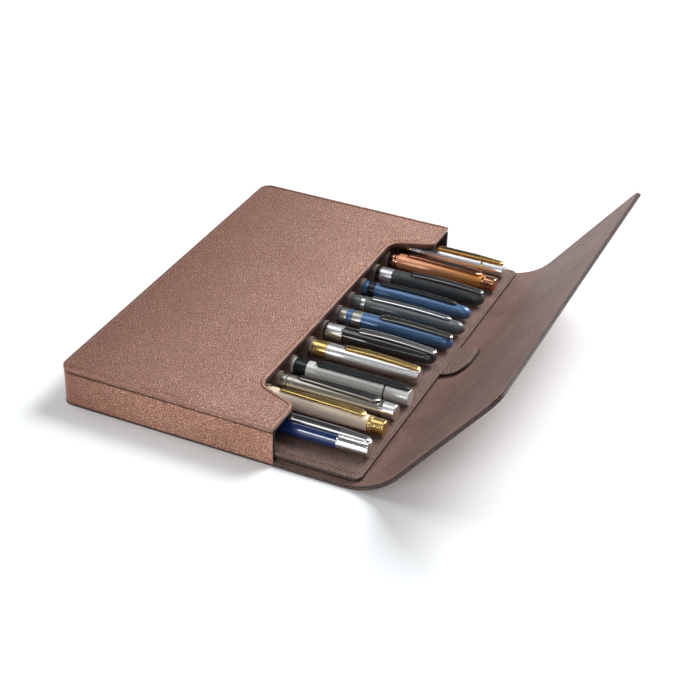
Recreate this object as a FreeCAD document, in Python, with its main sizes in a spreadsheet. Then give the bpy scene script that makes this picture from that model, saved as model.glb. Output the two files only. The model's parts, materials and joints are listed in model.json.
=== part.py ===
import FreeCAD
import Part
import os
import Sketcher

from dataclasses import dataclass, fields
from math import pi

from FreeCAD import Placement, Rotation, Vector

# A leather-covered pen case, drawn out and open, as it stands on a table.
#
# A hard sleeve is closed on three sides and open along one long side, with a wide
# cut-out in its top panel. A padded tray slides out of it on its floor and holds
# twelve pens under one elastic band. The leather of the underside runs on past the
# opening, bends up and becomes a closure flap.
#
# Frame: the origin is the centre of the sleeve's underside, +Z is up, +X points out
# of the opening and +Y runs along the case. Sizes are millimetres and degrees.

SHEET_SIZES = {
    # Sleeve, outside
    "sleeve_depth": 147.0,
    "sleeve_length": 274.0,
    "sleeve_height": 27.0,
    "corner_radius": 8.0,
    # Sleeve walls, from the outside in
    "band_inset": 0.3,
    "band_leather": 1.2,
    "side_board": 1.0,
    "side_lining": 0.5,
    "base_leather": 1.3,
    "base_board": 2.1,
    "base_lining": 0.8,
    "top_leather": 1.6,
    "top_board": 1.5,
    "top_lining": 0.5,
    # Cut-out in the top panel: its mouth is at the opening, its throat is inside
    "cutout_depth": 27.3,
    "cutout_mouth_margin": 29.0,
    "cutout_throat_margin": 39.2,
    "cutout_lip_radius": 6.0,
    "cutout_throat_radius": 10.0,
    # Closure flap: a flat bed, a bend and a straight cover
    "bed_flat": 43.0,
    "bend_radius": 46.6,
    "front_fold_turn": 16.9,
    "cover_fold_turn": 51.5,
    "cover_length": 90.1,
    "cover_corner_radius": 9.0,
    "flap_lining": 1.3,
    # How far each fold turns either way, which sets the gap left for it
    "front_closing": 40.0,
    "front_opening": 33.0,
    "cover_closing": 88.0,
    "cover_opening": 18.0,
    "fold_clearance": 0.2,
    # Hidden closure magnets, in pairs
    "magnet_radius": 5.0,
    "magnet_thickness": 0.9,
    "magnet_edge_distance": 12.0,
    "magnet_half_spacing": 70.0,
    "magnet_clearance": 0.1,
    # Tray
    "tray_out": 54.7,
    "tray_side_gap": 0.4,
    "tray_running_gap": 0.3,
    "tray_base_leather": 1.1,
    "tray_board": 0.8,
    "tray_foam": 0.9,
    "tray_top_leather": 1.1,
    "tray_front_radius": 4.0,
    "tray_border": 3.0,
    "tray_slope_width": 3.5,
    "tray_slope_height": 1.5,
    # Pull tab, which lies on the flap's bend
    "tab_width": 35.0,
    "tab_offset": 6.0,
    "tab_thickness": 1.8,
    "tab_flap_gap": 0.6,
    "tab_root_turn": 19.0,
    "tab_tip_turn": 42.0,
    "tab_corner_radius": 8.0,
    # Elastic band over the pens
    "loop_setback": 81.6,
    "loop_width": 42.0,
    "loop_elastic": 0.9,
    "loop_clearance": 0.3,
    "loop_end_tail": 6.0,
    # Pens
    "pen_first_lane": 23.0,
    "pen_pitch": 21.0,
    "pen_axis_height": 6.0,
    "pen_tail_length": 61.0,
    "barrel_step": 0.3,
    "barrel_taper_length": 30.0,
    "barrel_end_radius": 4.0,
    "barrel_end_chamfer": 1.2,
    "cap_wall": 0.8,
    "grip_clearance": 0.3,
    "grip_length": 32.0,
    "grip_front_radius": 2.8,
    "nib_length": 21.0,
    "nib_tip_radius": 0.4,
    "cap_bore_length": 58.0,
    "cap_bore_end_radius": 2.4,
    "clip_thickness": 0.9,
    "clip_rise": 1.1,
    "clip_toe_gap": 0.25,
    "clip_toe_length": 3.5,
    "clip_foot_length": 4.0,
    "ring_height": 0.35,
    "ring_seat_gap": 0.02,
}


@dataclass(frozen=True)
class Pen:
    """One pen's own sizes, measured from its cap's lip along its axis."""

    lane_shift: float
    setback: float
    cap_length: float
    lip_radius: float
    belly_radius: float
    crown_radius: float
    band_length: float
    finial_length: float
    clip_toe: float
    clip_heel: float
    clip_width: float
    ring_start: float
    ring_length: float


PENS = (
    Pen(0.9, 2.0, 78.7, 5.7, 5.7, 5.2, 0.8, 19.8, 23.8, 78.4, 4.4, 57.9, 1.0),
    Pen(2.9, 2.6, 78.1, 5.6, 5.6, 4.6, 0.8, 8.8, 7.2, 64.7, 3.4, 67.0, 2.0),
    Pen(-0.6, 3.3, 78.0, 4.8, 5.3, 4.8, 9.6, 8.4, 11.1, 66.9, 4.2, 67.2, 2.2),
    Pen(-3.4, 2.2, 77.9, 5.6, 5.6, 5.2, 8.6, 3.0, 13.9, 77.6, 4.2, 61.0, 1.0),
    Pen(0.5, 6.0, 73.4, 5.5, 5.5, 4.1, 10.2, 3.0, 20.9, 73.0, 3.0, 67.0, 1.2),
    Pen(1.5, 4.3, 76.1, 5.3, 5.6, 4.2, 11.7, 3.0, 21.4, 75.8, 3.6, 70.0, 1.2),
    Pen(1.7, 1.5, 79.4, 5.3, 5.7, 4.5, 16.0, 3.0, 27.9, 79.0, 3.4, 73.0, 1.2),
    Pen(0.3, 1.0, 77.3, 4.9, 5.4, 4.3, 7.0, 3.0, 9.8, 67.5, 3.0, 69.0, 1.0),
    Pen(-1.2, 4.3, 73.6, 5.2, 5.7, 4.2, 5.3, 3.0, 7.5, 63.4, 3.0, 65.0, 1.0),
    Pen(-0.6, 2.8, 75.6, 5.2, 5.6, 4.6, 8.7, 3.0, 21.7, 74.5, 3.2, 68.0, 1.0),
    Pen(0.7, 2.8, 75.7, 5.3, 5.6, 4.6, 3.8, 7.8, 9.5, 65.0, 3.8, 66.0, 1.4),
    Pen(-0.4, 4.4, 75.4, 5.0, 5.3, 4.8, 6.8, 3.0, 24.5, 75.0, 3.6, 59.1, 1.2),
)

# Two points this near, in millimetres, count as one, and two runs whose directions
# differ by less than this share count as parallel
TOUCHING = 0.001
PARALLEL = 0.0001

doc = FreeCAD.newDocument("PenCase")
sheet = doc.addObject("Spreadsheet::Sheet", "Sizes")


def fill_sheet():
    """Write every driving dimension into the sheet, each under its own alias."""
    rows = dict(SHEET_SIZES)
    for number, pen in enumerate(PENS, start=1):
        for field in fields(Pen):
            rows[f"pen_{number:02d}_{field.name}"] = getattr(pen, field.name)
    for row, (alias, size) in enumerate(rows.items(), start=1):
        sheet.set(f"A{row}", alias)
        sheet.set(f"B{row}", str(size))
        sheet.setAlias(f"B{row}", alias)
    doc.recompute()


def size(alias):
    """Return the expression that reads one size from the sheet."""
    return f"Sizes.{alias}"


def total(*aliases):
    """Return the expression that adds several sizes of the sheet."""
    return "(" + " + ".join(size(alias) for alias in aliases) + ")"


def value(expression):
    """Return an expression's value as a plain number."""
    return float(sheet.evalExpression(str(expression)))


fill_sheet()

# Places worked out from the sizes, as expressions

FRONT = f"({size('sleeve_depth')} / 2)"
HALF_LENGTH = f"({size('sleeve_length')} / 2)"
BAND_INNER = total("band_inset", "band_leather")
BOARD_INNER = total("band_inset", "band_leather", "side_board")
WALL = total("band_inset", "band_leather", "side_board", "side_lining")
FLOOR_BOARD_TOP = total("base_leather", "base_board")
FLOOR = total("base_leather", "base_board", "base_lining")
TOP_LEATHER_LOW = f"({size('sleeve_height')} - {size('top_leather')})"
TOP_BOARD_LOW = f"({TOP_LEATHER_LOW} - {size('top_board')})"
CEILING = f"({TOP_BOARD_LOW} - {size('top_lining')})"

BEND_START = f"({FRONT} + {size('bed_flat')})"
LEATHER_INNER_RADIUS = f"({size('bend_radius')} - {size('base_leather')})"
LINING_INNER_RADIUS = f"({LEATHER_INNER_RADIUS} - {size('flap_lining')})"

TRAY_FRONT = f"({FRONT} + {size('tray_out')})"
TRAY_LOW = f"({FLOOR} + {size('tray_running_gap')})"
TRAY_DEPTH = f"({size('sleeve_depth')} - {WALL} - {size('tray_side_gap')})"
TRAY_HALF = f"({HALF_LENGTH} - {WALL} - {size('tray_side_gap')})"
TRAY_BACK_RADIUS = f"({size('corner_radius')} - {WALL} - {size('tray_side_gap')})"
TRAY_PADDING_INSET = total("tray_border", "tray_slope_width")
TRAY_PADDING = total("tray_board", "tray_foam")
TRAY_PLATEAU = total("tray_base_leather", "tray_board", "tray_foam", "tray_top_leather")


def fold_gap(layer, turn):
    """Return the gap that lets a layer beside a fold turn by an angle without overlap."""
    return f"(2 * {size(layer)} * tan({size(turn)} / 2) + {size('fold_clearance')})"


def half_gap_turn(gap, radius):
    """Return half a gap as an angle of the bend, at a radius."""
    return f"({gap} / 2 / {radius} * 180 / pi)"


FRONT_FOLD_LEATHER_GAP = fold_gap("base_leather", "front_opening")
FRONT_FOLD_LINING_GAP = fold_gap("flap_lining", "front_closing")
COVER_FOLD_LEATHER_GAP = fold_gap("base_leather", "cover_opening")
COVER_FOLD_LINING_GAP = fold_gap("flap_lining", "cover_closing")

# Building blocks


def new_body(node, x="0", y="0", z="0", turn=None):
    """Start a sub-part whose origin is placed by expressions, leaned about -Y."""
    body = doc.addObject("PartDesign::Body", node)
    body.Label = node
    body.AllowCompound = True
    if turn is not None:
        body.Placement = Placement(Vector(0, 0, 0), Rotation(Vector(0, -1, 0), value(turn)))
        body.setExpression("Placement.Rotation.Angle", turn)
    for axis, place in zip("xyz", (x, y, z)):
        body.setExpression(f"Placement.Base.{axis}", place)
    return body


def new_sketch(body, name, role, offset=("0", "0", "0")):
    """Attach a sketch to one of a body's own planes, moved by expressions in that plane."""
    plane = next(f for f in body.Origin.OriginFeatures if f.Role == role)
    sketch = body.newObject("Sketcher::SketchObject", f"{body.Name}_{name}")
    sketch.AttachmentSupport = [(plane, "")]
    sketch.MapMode = "FlatFace"
    for axis, place in zip("xyz", offset):
        if place != "0":
            sketch.setExpression(f"AttachmentOffset.Base.{axis}", place)
    return sketch


def pin(sketch, kind, geometry, point, expression):
    """Hold a sketch point at a distance from the origin, given by an expression."""
    constraint = Sketcher.Constraint(kind, -1, 1, geometry, point, value(expression))
    index = sketch.addConstraint(constraint)
    sketch.setExpression(f"Constraints[{index}]", expression)


def add_polygon(sketch, corners):
    """Draw a closed outline through corners given as pairs of expressions."""
    first = sketch.GeometryCount
    count = len(corners)
    places = [Vector(value(across), value(up), 0) for across, up in corners]
    for index, place in enumerate(places):
        sketch.addGeometry(Part.LineSegment(place, places[(index + 1) % count]), False)
    for index in range(count):
        after = first + (index + 1) % count
        sketch.addConstraint(Sketcher.Constraint("Coincident", first + index, 2, after, 1))
    for index, (across, up) in enumerate(corners):
        pin(sketch, "DistanceX", first + index, 1, across)
        pin(sketch, "DistanceY", first + index, 1, up)


def add_circle(sketch, across, up, radius):
    """Draw a circle with its centre and radius given by expressions."""
    centre = Vector(value(across), value(up), 0)
    circle = sketch.addGeometry(Part.Circle(centre, Vector(0, 0, 1), value(radius)), False)
    pin(sketch, "DistanceX", circle, 3, across)
    pin(sketch, "DistanceY", circle, 3, up)
    index = sketch.addConstraint(Sketcher.Constraint("Radius", circle, value(radius)))
    sketch.setExpression(f"Constraints[{index}]", radius)


def pad(body, name, sketch, height):
    """Raise a sketch along its plane's normal."""
    feature = body.newObject("PartDesign::Pad", f"{body.Name}_{name}")
    feature.Profile = sketch
    feature.setExpression("Length", height)
    doc.recompute()
    return feature


def pad_both_ways(body, name, sketch, width):
    """Raise a sketch by half a width to each side of its plane."""
    feature = pad(body, name, sketch, width)
    feature.SideType = "Symmetric"
    doc.recompute()
    return feature


def pocket(body, name, sketch, depth, reverse=False):
    """Cut a sketch into the body and make sure that it removed something."""
    before = body.Shape.Volume
    feature = body.newObject("PartDesign::Pocket", f"{body.Name}_{name}")
    feature.Profile = sketch
    feature.Reversed = reverse
    feature.setExpression("Length", depth)
    doc.recompute()
    if body.Shape.Volume >= before:
        raise RuntimeError(f"{feature.Name} cut nothing")
    return feature


def revolve(body, name, sketch, turn="360"):
    """Turn a sketch about its own horizontal axis."""
    feature = body.newObject("PartDesign::Revolution", f"{body.Name}_{name}")
    feature.Profile = sketch
    feature.ReferenceAxis = (sketch, ["H_Axis"])
    if turn == "360":
        feature.Angle = 360
    else:
        feature.Reversed = True
        feature.setExpression("Angle", turn)
    doc.recompute()
    return feature


def edges_at(shape, places, along):
    """Name the edges that run along a direction through places given as points."""
    names = []
    for number, edge in enumerate(shape.Edges, start=1):
        start, end = edge.Vertexes[0].Point, edge.Vertexes[-1].Point
        run = end - start
        if run.Length < TOUCHING or run.cross(along).Length > PARALLEL * run.Length:
            continue
        if any((place - start).cross(along).Length < TOUCHING for place in places):
            names.append(f"Edge{number}")
    return names


def round_corners(body, name, corners, radius):
    """Round the upright edges of a pad at corners given as pairs of expressions."""
    places = [Vector(value(across), value(up), 0) for across, up in corners]
    base = body.Tip
    feature = body.newObject("PartDesign::Fillet", f"{body.Name}_{name}")
    feature.Base = (base, edges_at(base.Shape, places, Vector(0, 0, 1)))
    feature.setExpression("Radius", radius)
    doc.recompute()
    return feature


def mirrored(corners):
    """Return corners followed by their mirror images across the X axis, last first."""
    return corners + [(across, f"(-1 * {up})") for across, up in reversed(corners)]


def both_sides(corner):
    """Return a corner and its mirror image across the X axis."""
    across, up = corner
    return [(across, up), (across, f"(-1 * {up})")]


# Sleeve


def back_corner(inset):
    """Return the corner of the sleeve's plan that lies an inset inside the outline."""
    return (f"({inset} - {FRONT})", f"({HALF_LENGTH} - {inset})")


def corner_rounding(inset):
    """Return the radius of the sleeve's back corners at an inset."""
    return f"({size('corner_radius')} - {inset})"


def make_floor_layer(node, inset, low, thickness):
    """Make a flat layer of the sleeve's floor, flush with the opening."""
    body = new_body(node, z=low)
    corner = back_corner(inset)
    sketch = new_sketch(body, "plan", "XY_Plane")
    add_polygon(sketch, mirrored([corner, (FRONT, corner[1])]))
    pad(body, "sheet", sketch, thickness)
    round_corners(body, "back_corners", both_sides(corner), corner_rounding(inset))
    return body


def make_wall_layer(node, inset, thickness, low, high):
    """Make a layer of the sleeve's wall, which runs round the back and both ends."""
    body = new_body(node, z=low)
    inner_inset = f"({inset} + {thickness})"
    outer = back_corner(inset)
    inner = back_corner(inner_inset)
    sketch = new_sketch(body, "plan", "XY_Plane")
    corners = [outer, (FRONT, outer[1]), (FRONT, inner[1]), inner]
    inner_half = [(across, f"(-1 * {up})") for across, up in reversed(corners[2:])]
    outer_half = [(across, f"(-1 * {up})") for across, up in reversed(corners[:2])]
    add_polygon(sketch, corners + inner_half + outer_half)
    pad(body, "wall", sketch, f"({high} - {low})")
    round_corners(body, "outer_corners", both_sides(outer), corner_rounding(inset))
    round_corners(body, "inner_corners", both_sides(inner), corner_rounding(inner_inset))
    return body


def make_top_layer(node, inset, low, thickness):
    """Make a layer of the top panel, with the cut-out that bares the pens."""
    body = new_body(node, z=low)
    corner = back_corner(inset)
    mouth = (FRONT, f"({HALF_LENGTH} - {size('cutout_mouth_margin')})")
    throat = (
        f"({FRONT} - {size('cutout_depth')})",
        f"({HALF_LENGTH} - {size('cutout_throat_margin')})",
    )
    sketch = new_sketch(body, "plan", "XY_Plane")
    add_polygon(sketch, mirrored([corner, (FRONT, corner[1]), mouth, throat]))
    pad(body, "sheet", sketch, thickness)
    round_corners(body, "back_corners", both_sides(corner), corner_rounding(inset))
    round_corners(body, "cutout_lips", both_sides(mouth), size("cutout_lip_radius"))
    round_corners(body, "cutout_throat", both_sides(throat), size("cutout_throat_radius"))
    return body


def cut_magnet_pockets(body, across, plane_height, depth, reverse=False):
    """Sink the two round pockets of the closure magnets into a layer."""
    sketch = new_sketch(body, "magnet_seats", "XY_Plane", ("0", "0", plane_height))
    radius = total("magnet_radius", "magnet_clearance")
    for side in ("", "-1 * "):
        add_circle(sketch, across, f"({side}{size('magnet_half_spacing')})", radius)
    pocket(body, "magnet_pockets", sketch, depth, reverse)


def make_magnets(node, across, x, z, turn=None):
    """Make a pair of closure magnets."""
    body = new_body(node, x=x, z=z, turn=turn)
    sketch = new_sketch(body, "discs", "XY_Plane")
    for side in ("", "-1 * "):
        centre = f"({side}{size('magnet_half_spacing')})"
        add_circle(sketch, across, centre, size("magnet_radius"))
    pad(body, "discs_pad", sketch, size("magnet_thickness"))
    return body


def make_sleeve():
    """Make the sleeve's floor, wall and top, each of leather, board and lining."""
    make_floor_layer("base_board", BAND_INNER, size("base_leather"), size("base_board"))
    make_floor_layer("base_lining", BOARD_INNER, FLOOR_BOARD_TOP, size("base_lining"))
    band = size("band_leather")
    make_wall_layer("side_band", size("band_inset"), band, size("base_leather"), TOP_LEATHER_LOW)
    make_wall_layer("side_board", BAND_INNER, size("side_board"), FLOOR_BOARD_TOP, TOP_BOARD_LOW)
    make_wall_layer("side_lining", BOARD_INNER, size("side_lining"), FLOOR, CEILING)
    make_top_layer("top_lining", BOARD_INNER, CEILING, size("top_lining"))
    top_board = make_top_layer("top_board", BAND_INNER, TOP_BOARD_LOW, size("top_board"))
    make_top_layer("top_leather", "0", TOP_LEATHER_LOW, size("top_leather"))
    seat = total("magnet_thickness", "magnet_clearance")
    across = f"({size('magnet_edge_distance')} - {FRONT})"
    cut_magnet_pockets(top_board, across, size("top_board"), seat)
    make_magnets("sleeve_magnets", across, "0", f"({TOP_LEATHER_LOW} - {seat})")


# Closure flap


def add_bend(body, name, outer, inner, turn, centre=("0", "0")):
    """Add a stretch of the flap's bend, which starts straight below the bend's centre."""
    centre_x, centre_z = centre
    sketch = new_sketch(body, f"{name}_section", "YZ_Plane", ("0", centre_z, centre_x))
    low, high = f"(-1 * {outer})", f"(-1 * {inner})"
    minus_half = f"(-1 * {HALF_LENGTH})"
    corners = [(HALF_LENGTH, low), (HALF_LENGTH, high), (minus_half, high), (minus_half, low)]
    add_polygon(sketch, corners)
    revolve(body, name, sketch, turn)


def make_base_leather():
    """Make the underside's leather, which runs on past the opening up to the first fold."""
    body = new_body("base_leather")
    corner = back_corner("0")
    sketch = new_sketch(body, "plan", "XY_Plane")
    add_polygon(sketch, mirrored([corner, (BEND_START, corner[1])]))
    pad(body, "sheet", sketch, size("base_leather"))
    round_corners(body, "back_corners", both_sides(corner), corner_rounding("0"))
    gap = half_gap_turn(FRONT_FOLD_LEATHER_GAP, size("bend_radius"))
    turn = f"({size('front_fold_turn')} - {gap})"
    centre = (BEND_START, size("bend_radius"))
    add_bend(body, "bed_bend", size("bend_radius"), LEATHER_INNER_RADIUS, turn, centre)


def make_bed_lining():
    """Make the lining on the bed in front of the opening, up to the first fold."""
    body = new_body("flap_bed_lining")
    sketch = new_sketch(body, "plan", "XY_Plane", ("0", "0", size("base_leather")))
    add_polygon(sketch, mirrored([(FRONT, HALF_LENGTH), (BEND_START, HALF_LENGTH)]))
    pad(body, "sheet", sketch, size("flap_lining"))
    gap = half_gap_turn(FRONT_FOLD_LINING_GAP, LEATHER_INNER_RADIUS)
    turn = f"({size('front_fold_turn')} - {gap})"
    centre = (BEND_START, size("bend_radius"))
    add_bend(body, "bed_bend", LEATHER_INNER_RADIUS, LINING_INNER_RADIUS, turn, centre)


def make_front_layer(node, outer, inner, first_gap, last_gap):
    """Make a layer of the flap's front, bent between the two folds."""
    start = f"({size('front_fold_turn')} + {half_gap_turn(first_gap, outer)})"
    end = f"({size('cover_fold_turn')} - {half_gap_turn(last_gap, outer)})"
    body = new_body(node, x=BEND_START, z=size("bend_radius"), turn=start)
    add_bend(body, "bend", outer, inner, f"({end} - {start})")


COVER_X = f"({BEND_START} + {LEATHER_INNER_RADIUS} * sin({size('cover_fold_turn')}))"
COVER_Z = f"({size('bend_radius')} - {LEATHER_INNER_RADIUS} * cos({size('cover_fold_turn')}))"


def make_cover_layer(node, gap, low, thickness):
    """Make a layer of the flap's straight cover, with rounded free corners."""
    body = new_body(node, x=COVER_X, z=COVER_Z, turn=size("cover_fold_turn"))
    tip = (size("cover_length"), HALF_LENGTH)
    sketch = new_sketch(body, "plan", "XY_Plane", ("0", "0", low))
    add_polygon(sketch, mirrored([(f"({gap} / 2)", HALF_LENGTH), tip]))
    pad(body, "sheet", sketch, thickness)
    round_corners(body, "free_corners", both_sides(tip), size("cover_corner_radius"))
    return body


def make_flap():
    """Make the closure flap: bed, front and cover, each of leather and lining."""
    make_base_leather()
    make_bed_lining()
    make_front_layer(
        "flap_front_leather",
        size("bend_radius"),
        LEATHER_INNER_RADIUS,
        FRONT_FOLD_LEATHER_GAP,
        COVER_FOLD_LEATHER_GAP,
    )
    make_front_layer(
        "flap_front_lining",
        LEATHER_INNER_RADIUS,
        LINING_INNER_RADIUS,
        FRONT_FOLD_LINING_GAP,
        COVER_FOLD_LINING_GAP,
    )
    leather = size("base_leather")
    make_cover_layer("flap_cover_leather", COVER_FOLD_LEATHER_GAP, f"(-1 * {leather})", leather)
    lining = make_cover_layer("flap_cover_lining", COVER_FOLD_LINING_GAP, "0", size("flap_lining"))
    across = f"({size('cover_length')} - {size('magnet_edge_distance')})"
    seat = total("magnet_thickness", "magnet_clearance")
    cut_magnet_pockets(lining, across, "0", seat, reverse=True)
    make_magnets("flap_magnets", across, COVER_X, COVER_Z, size("cover_fold_turn"))


# Tray


def new_tray_body(node, low="0"):
    """Start a sub-part of the tray, whose front edge is at the part's own origin."""
    return new_body(node, x=TRAY_FRONT, z=f"({TRAY_LOW} + {low})")


def tray_outline(inset):
    """Return the front and back corners of the tray's plan at an inset."""
    across_front = f"(-1 * {inset})"
    across_back = f"({inset} - {TRAY_DEPTH})"
    half = f"({TRAY_HALF} - {inset})"
    return (across_front, half), (across_back, half)


def add_tray_sheet(body, name, inset, low, thickness):
    """Add a sheet with the tray's plan, drawn in by an inset."""
    front, back = tray_outline(inset)
    sketch = new_sketch(body, f"{name}_plan", "XY_Plane", ("0", "0", low))
    add_polygon(sketch, mirrored([back, front]))
    pad(body, name, sketch, thickness)
    return front, back


def make_tray_sheet(node, inset, low, thickness):
    """Make a flat layer of the tray."""
    body = new_tray_body(node, low)
    front, back = add_tray_sheet(body, "sheet", inset, "0", thickness)
    if inset == "0":
        round_corners(body, "front_corners", both_sides(front), size("tray_front_radius"))
        round_corners(body, "back_corners", both_sides(back), TRAY_BACK_RADIUS)
    return body


def slope_plateau(body, height):
    """Slope the rim of the raised middle, all round its top."""
    top = body.Tip.Shape
    names = []
    for number, edge in enumerate(top.Edges, start=1):
        box = edge.BoundBox
        if abs(box.ZMin - height) < TOUCHING and abs(box.ZMax - height) < TOUCHING:
            names.append(f"Edge{number}")
    base = body.Tip
    feature = body.newObject("PartDesign::Chamfer", f"{body.Name}_slope")
    feature.Base = (base, names)
    feature.ChamferType = "Two distances"
    feature.setExpression("Size", size("tray_slope_height"))
    feature.setExpression("Size2", size("tray_slope_width"))
    doc.recompute()


def make_tray_top_leather():
    """Make the tray's top leather: a flat border and a middle raised over the padding."""
    body = new_tray_body("tray_top_leather", size("tray_base_leather"))
    leather = size("tray_top_leather")
    front, back = add_tray_sheet(body, "border", "0", "0", leather)
    round_corners(body, "front_corners", both_sides(front), size("tray_front_radius"))
    round_corners(body, "back_corners", both_sides(back), TRAY_BACK_RADIUS)
    add_tray_sheet(body, "plateau", size("tray_border"), leather, TRAY_PADDING)
    slope_plateau(body, value(f"{TRAY_PADDING} + {leather}"))
    inner_front, inner_back = tray_outline(TRAY_PADDING_INSET)
    sketch = new_sketch(body, "padding_plan", "XY_Plane")
    add_polygon(sketch, mirrored([inner_back, inner_front]))
    pocket(body, "padding_pocket", sketch, TRAY_PADDING, reverse=True)


def make_pull_tab():
    """Make the pull tab, bent to lie on the flap's bend just beyond the tray's front."""
    body = new_body(
        "pull_tab",
        x=BEND_START,
        y=size("tab_offset"),
        z=size("bend_radius"),
        turn=size("tab_root_turn"),
    )
    half = f"({size('tab_width')} / 2)"
    outer = f"({LINING_INNER_RADIUS} - {size('tab_flap_gap')})"
    inner = f"({outer} - {size('tab_thickness')})"
    sketch = new_sketch(body, "section", "YZ_Plane")
    low, high = f"(-1 * {outer})", f"(-1 * {inner})"
    minus_half = f"(-1 * {half})"
    add_polygon(sketch, [(half, low), (half, high), (minus_half, high), (minus_half, low)])
    revolve(body, "strip", sketch, f"({size('tab_tip_turn')} - {size('tab_root_turn')})")
    turn = value(f"{size('tab_tip_turn')} - {size('tab_root_turn')}")
    outward = Rotation(Vector(0, -1, 0), turn).multVec(Vector(0, 0, -1))
    places = [Vector(0, side * value(half), 0) + outward * value(outer) for side in (-1, 1)]
    strip = body.Tip
    feature = body.newObject("PartDesign::Fillet", "pull_tab_corners")
    feature.Base = (strip, edges_at(strip.Shape, places, outward))
    feature.setExpression("Radius", size("tab_corner_radius"))
    doc.recompute()


def pen_size(number, name):
    """Return the expression that reads one of a pen's own sizes."""
    return size(f"pen_{number:02d}_{name}")


def pen_lane(number):
    """Return how far along the case a pen's axis lies."""
    lanes = f"{size('pen_first_lane')} + {number - 1} * {size('pen_pitch')}"
    return f"({lanes} + {pen_size(number, 'lane_shift')} - {HALF_LENGTH})"


def barrel_radius(number):
    """Return the radius of a pen's barrel, a step below its cap's lip."""
    return f"({pen_size(number, 'lip_radius')} - {size('barrel_step')})"


def add_arch(sketch, centre, radius, foot):
    """Draw the outline of an arch: a half circle on two straight legs."""
    axis = f"({TRAY_PLATEAU} + {size('pen_axis_height')})"
    y, z = value(centre), value(axis)
    reach, low = value(radius), value(foot)
    circle = Part.Circle(Vector(y, z, 0), Vector(0, 0, 1), reach)
    crown = sketch.addGeometry(Part.ArcOfCircle(circle, 0, pi), False)
    left, right = y - reach, y + reach
    outline = ((left, z, left, low), (left, low, right, low), (right, low, right, z))
    legs = [
        sketch.addGeometry(Part.LineSegment(Vector(y1, z1, 0), Vector(y2, z2, 0)), False)
        for y1, z1, y2, z2 in outline
    ]
    ring = [crown, *legs]
    for line, after in zip(ring, ring[1:] + ring[:1]):
        sketch.addConstraint(Sketcher.Constraint("Coincident", line, 2, after, 1))
    sketch.addConstraint(Sketcher.Constraint("Vertical", legs[0]))
    sketch.addConstraint(Sketcher.Constraint("Vertical", legs[2]))
    pin(sketch, "DistanceX", crown, 3, centre)
    pin(sketch, "DistanceY", crown, 3, axis)
    index = sketch.addConstraint(Sketcher.Constraint("Radius", crown, reach))
    sketch.setExpression(f"Constraints[{index}]", radius)
    pin(sketch, "DistanceY", crown, 1, axis)
    pin(sketch, "DistanceY", crown, 2, axis)
    pin(sketch, "DistanceY", legs[1], 1, foot)
    pin(sketch, "DistanceY", legs[1], 2, foot)


def make_pen_loops():
    """Make the elastic band: an arch over each pen, sewn down flat between them."""
    body = new_tray_body("pen_loops")
    start = f"(-1 * {size('loop_setback')} - {size('loop_width')})"
    plane = ("0", "0", start)
    last = len(PENS)
    tail = f"({size('loop_end_tail')} + {barrel_radius(1)})"
    ends = (f"({pen_lane(1)} - {tail})", f"({pen_lane(last)} + {tail})")
    strip_top = f"({TRAY_PLATEAU} + {size('loop_elastic')})"
    strip = new_sketch(body, "strip_section", "YZ_Plane", plane)
    lower = [(end, TRAY_PLATEAU) for end in ends]
    upper = [(end, strip_top) for end in reversed(ends)]
    add_polygon(strip, lower + upper)
    pad(body, "strip", strip, size("loop_width"))
    arches = new_sketch(body, "arch_sections", "YZ_Plane", plane)
    holes = new_sketch(body, "hole_sections", "YZ_Plane", plane)
    for number in range(1, last + 1):
        bore = f"({barrel_radius(number)} + {size('loop_clearance')})"
        add_arch(arches, pen_lane(number), f"({bore} + {size('loop_elastic')})", TRAY_PLATEAU)
        add_arch(holes, pen_lane(number), bore, f"({TRAY_PLATEAU} - {size('loop_elastic')})")
    pad(body, "arches", arches, size("loop_width"))
    pocket(body, "holes", holes, size("loop_width"), reverse=True)


def make_tray():
    """Make the sliding tray: two leathers, the board and padding between them, tab and band."""
    leather = size("tray_base_leather")
    make_tray_sheet("tray_base_leather", "0", "0", leather)
    make_tray_sheet("tray_board", TRAY_PADDING_INSET, leather, size("tray_board"))
    above_board = total("tray_base_leather", "tray_board")
    make_tray_sheet("tray_foam", TRAY_PADDING_INSET, above_board, size("tray_foam"))
    make_tray_top_leather()
    make_pen_loops()
    make_pull_tab()


# Pens


def new_pen_body(number, piece):
    """Start a piece of a pen, whose cap's lip is at the piece's own origin."""
    setback = f"({pen_size(number, 'setback')} + {pen_size(number, 'cap_length')})"
    height = f"({TRAY_LOW} + {TRAY_PLATEAU} + {size('pen_axis_height')})"
    lip = f"({TRAY_FRONT} - {setback})"
    return new_body(f"pen_{number:02d}_{piece}", x=lip, y=pen_lane(number), z=height)


def turned(body, name, outline):
    """Turn a half outline about the pen's axis."""
    sketch = new_sketch(body, f"{name}_outline", "XZ_Plane")
    add_polygon(sketch, outline)
    revolve(body, name, sketch)


def make_pen_barrel(number):
    """Make a pen's barrel, with the grip and nib that the cap hides."""
    body = new_pen_body(number, "barrel")
    radius = barrel_radius(number)
    tail = f"(-1 * {size('pen_tail_length')})"
    bore = f"({pen_size(number, 'lip_radius')} - {size('cap_wall')})"
    grip = f"({bore} - {size('grip_clearance')})"
    end_radius = size("barrel_end_radius")
    chamfer = size("barrel_end_chamfer")
    grip_end = size("grip_length")
    nib_end = total("grip_length", "nib_length")
    outline = [
        (tail, "0"),
        (tail, f"({end_radius} - {chamfer})"),
        (f"({tail} + {chamfer})", end_radius),
        (f"({tail} + {size('barrel_taper_length')})", radius),
        ("0", radius),
        ("0", grip),
        (grip_end, size("grip_front_radius")),
        (nib_end, size("nib_tip_radius")),
        (nib_end, "0"),
    ]
    turned(body, "shaft", outline)


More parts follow.
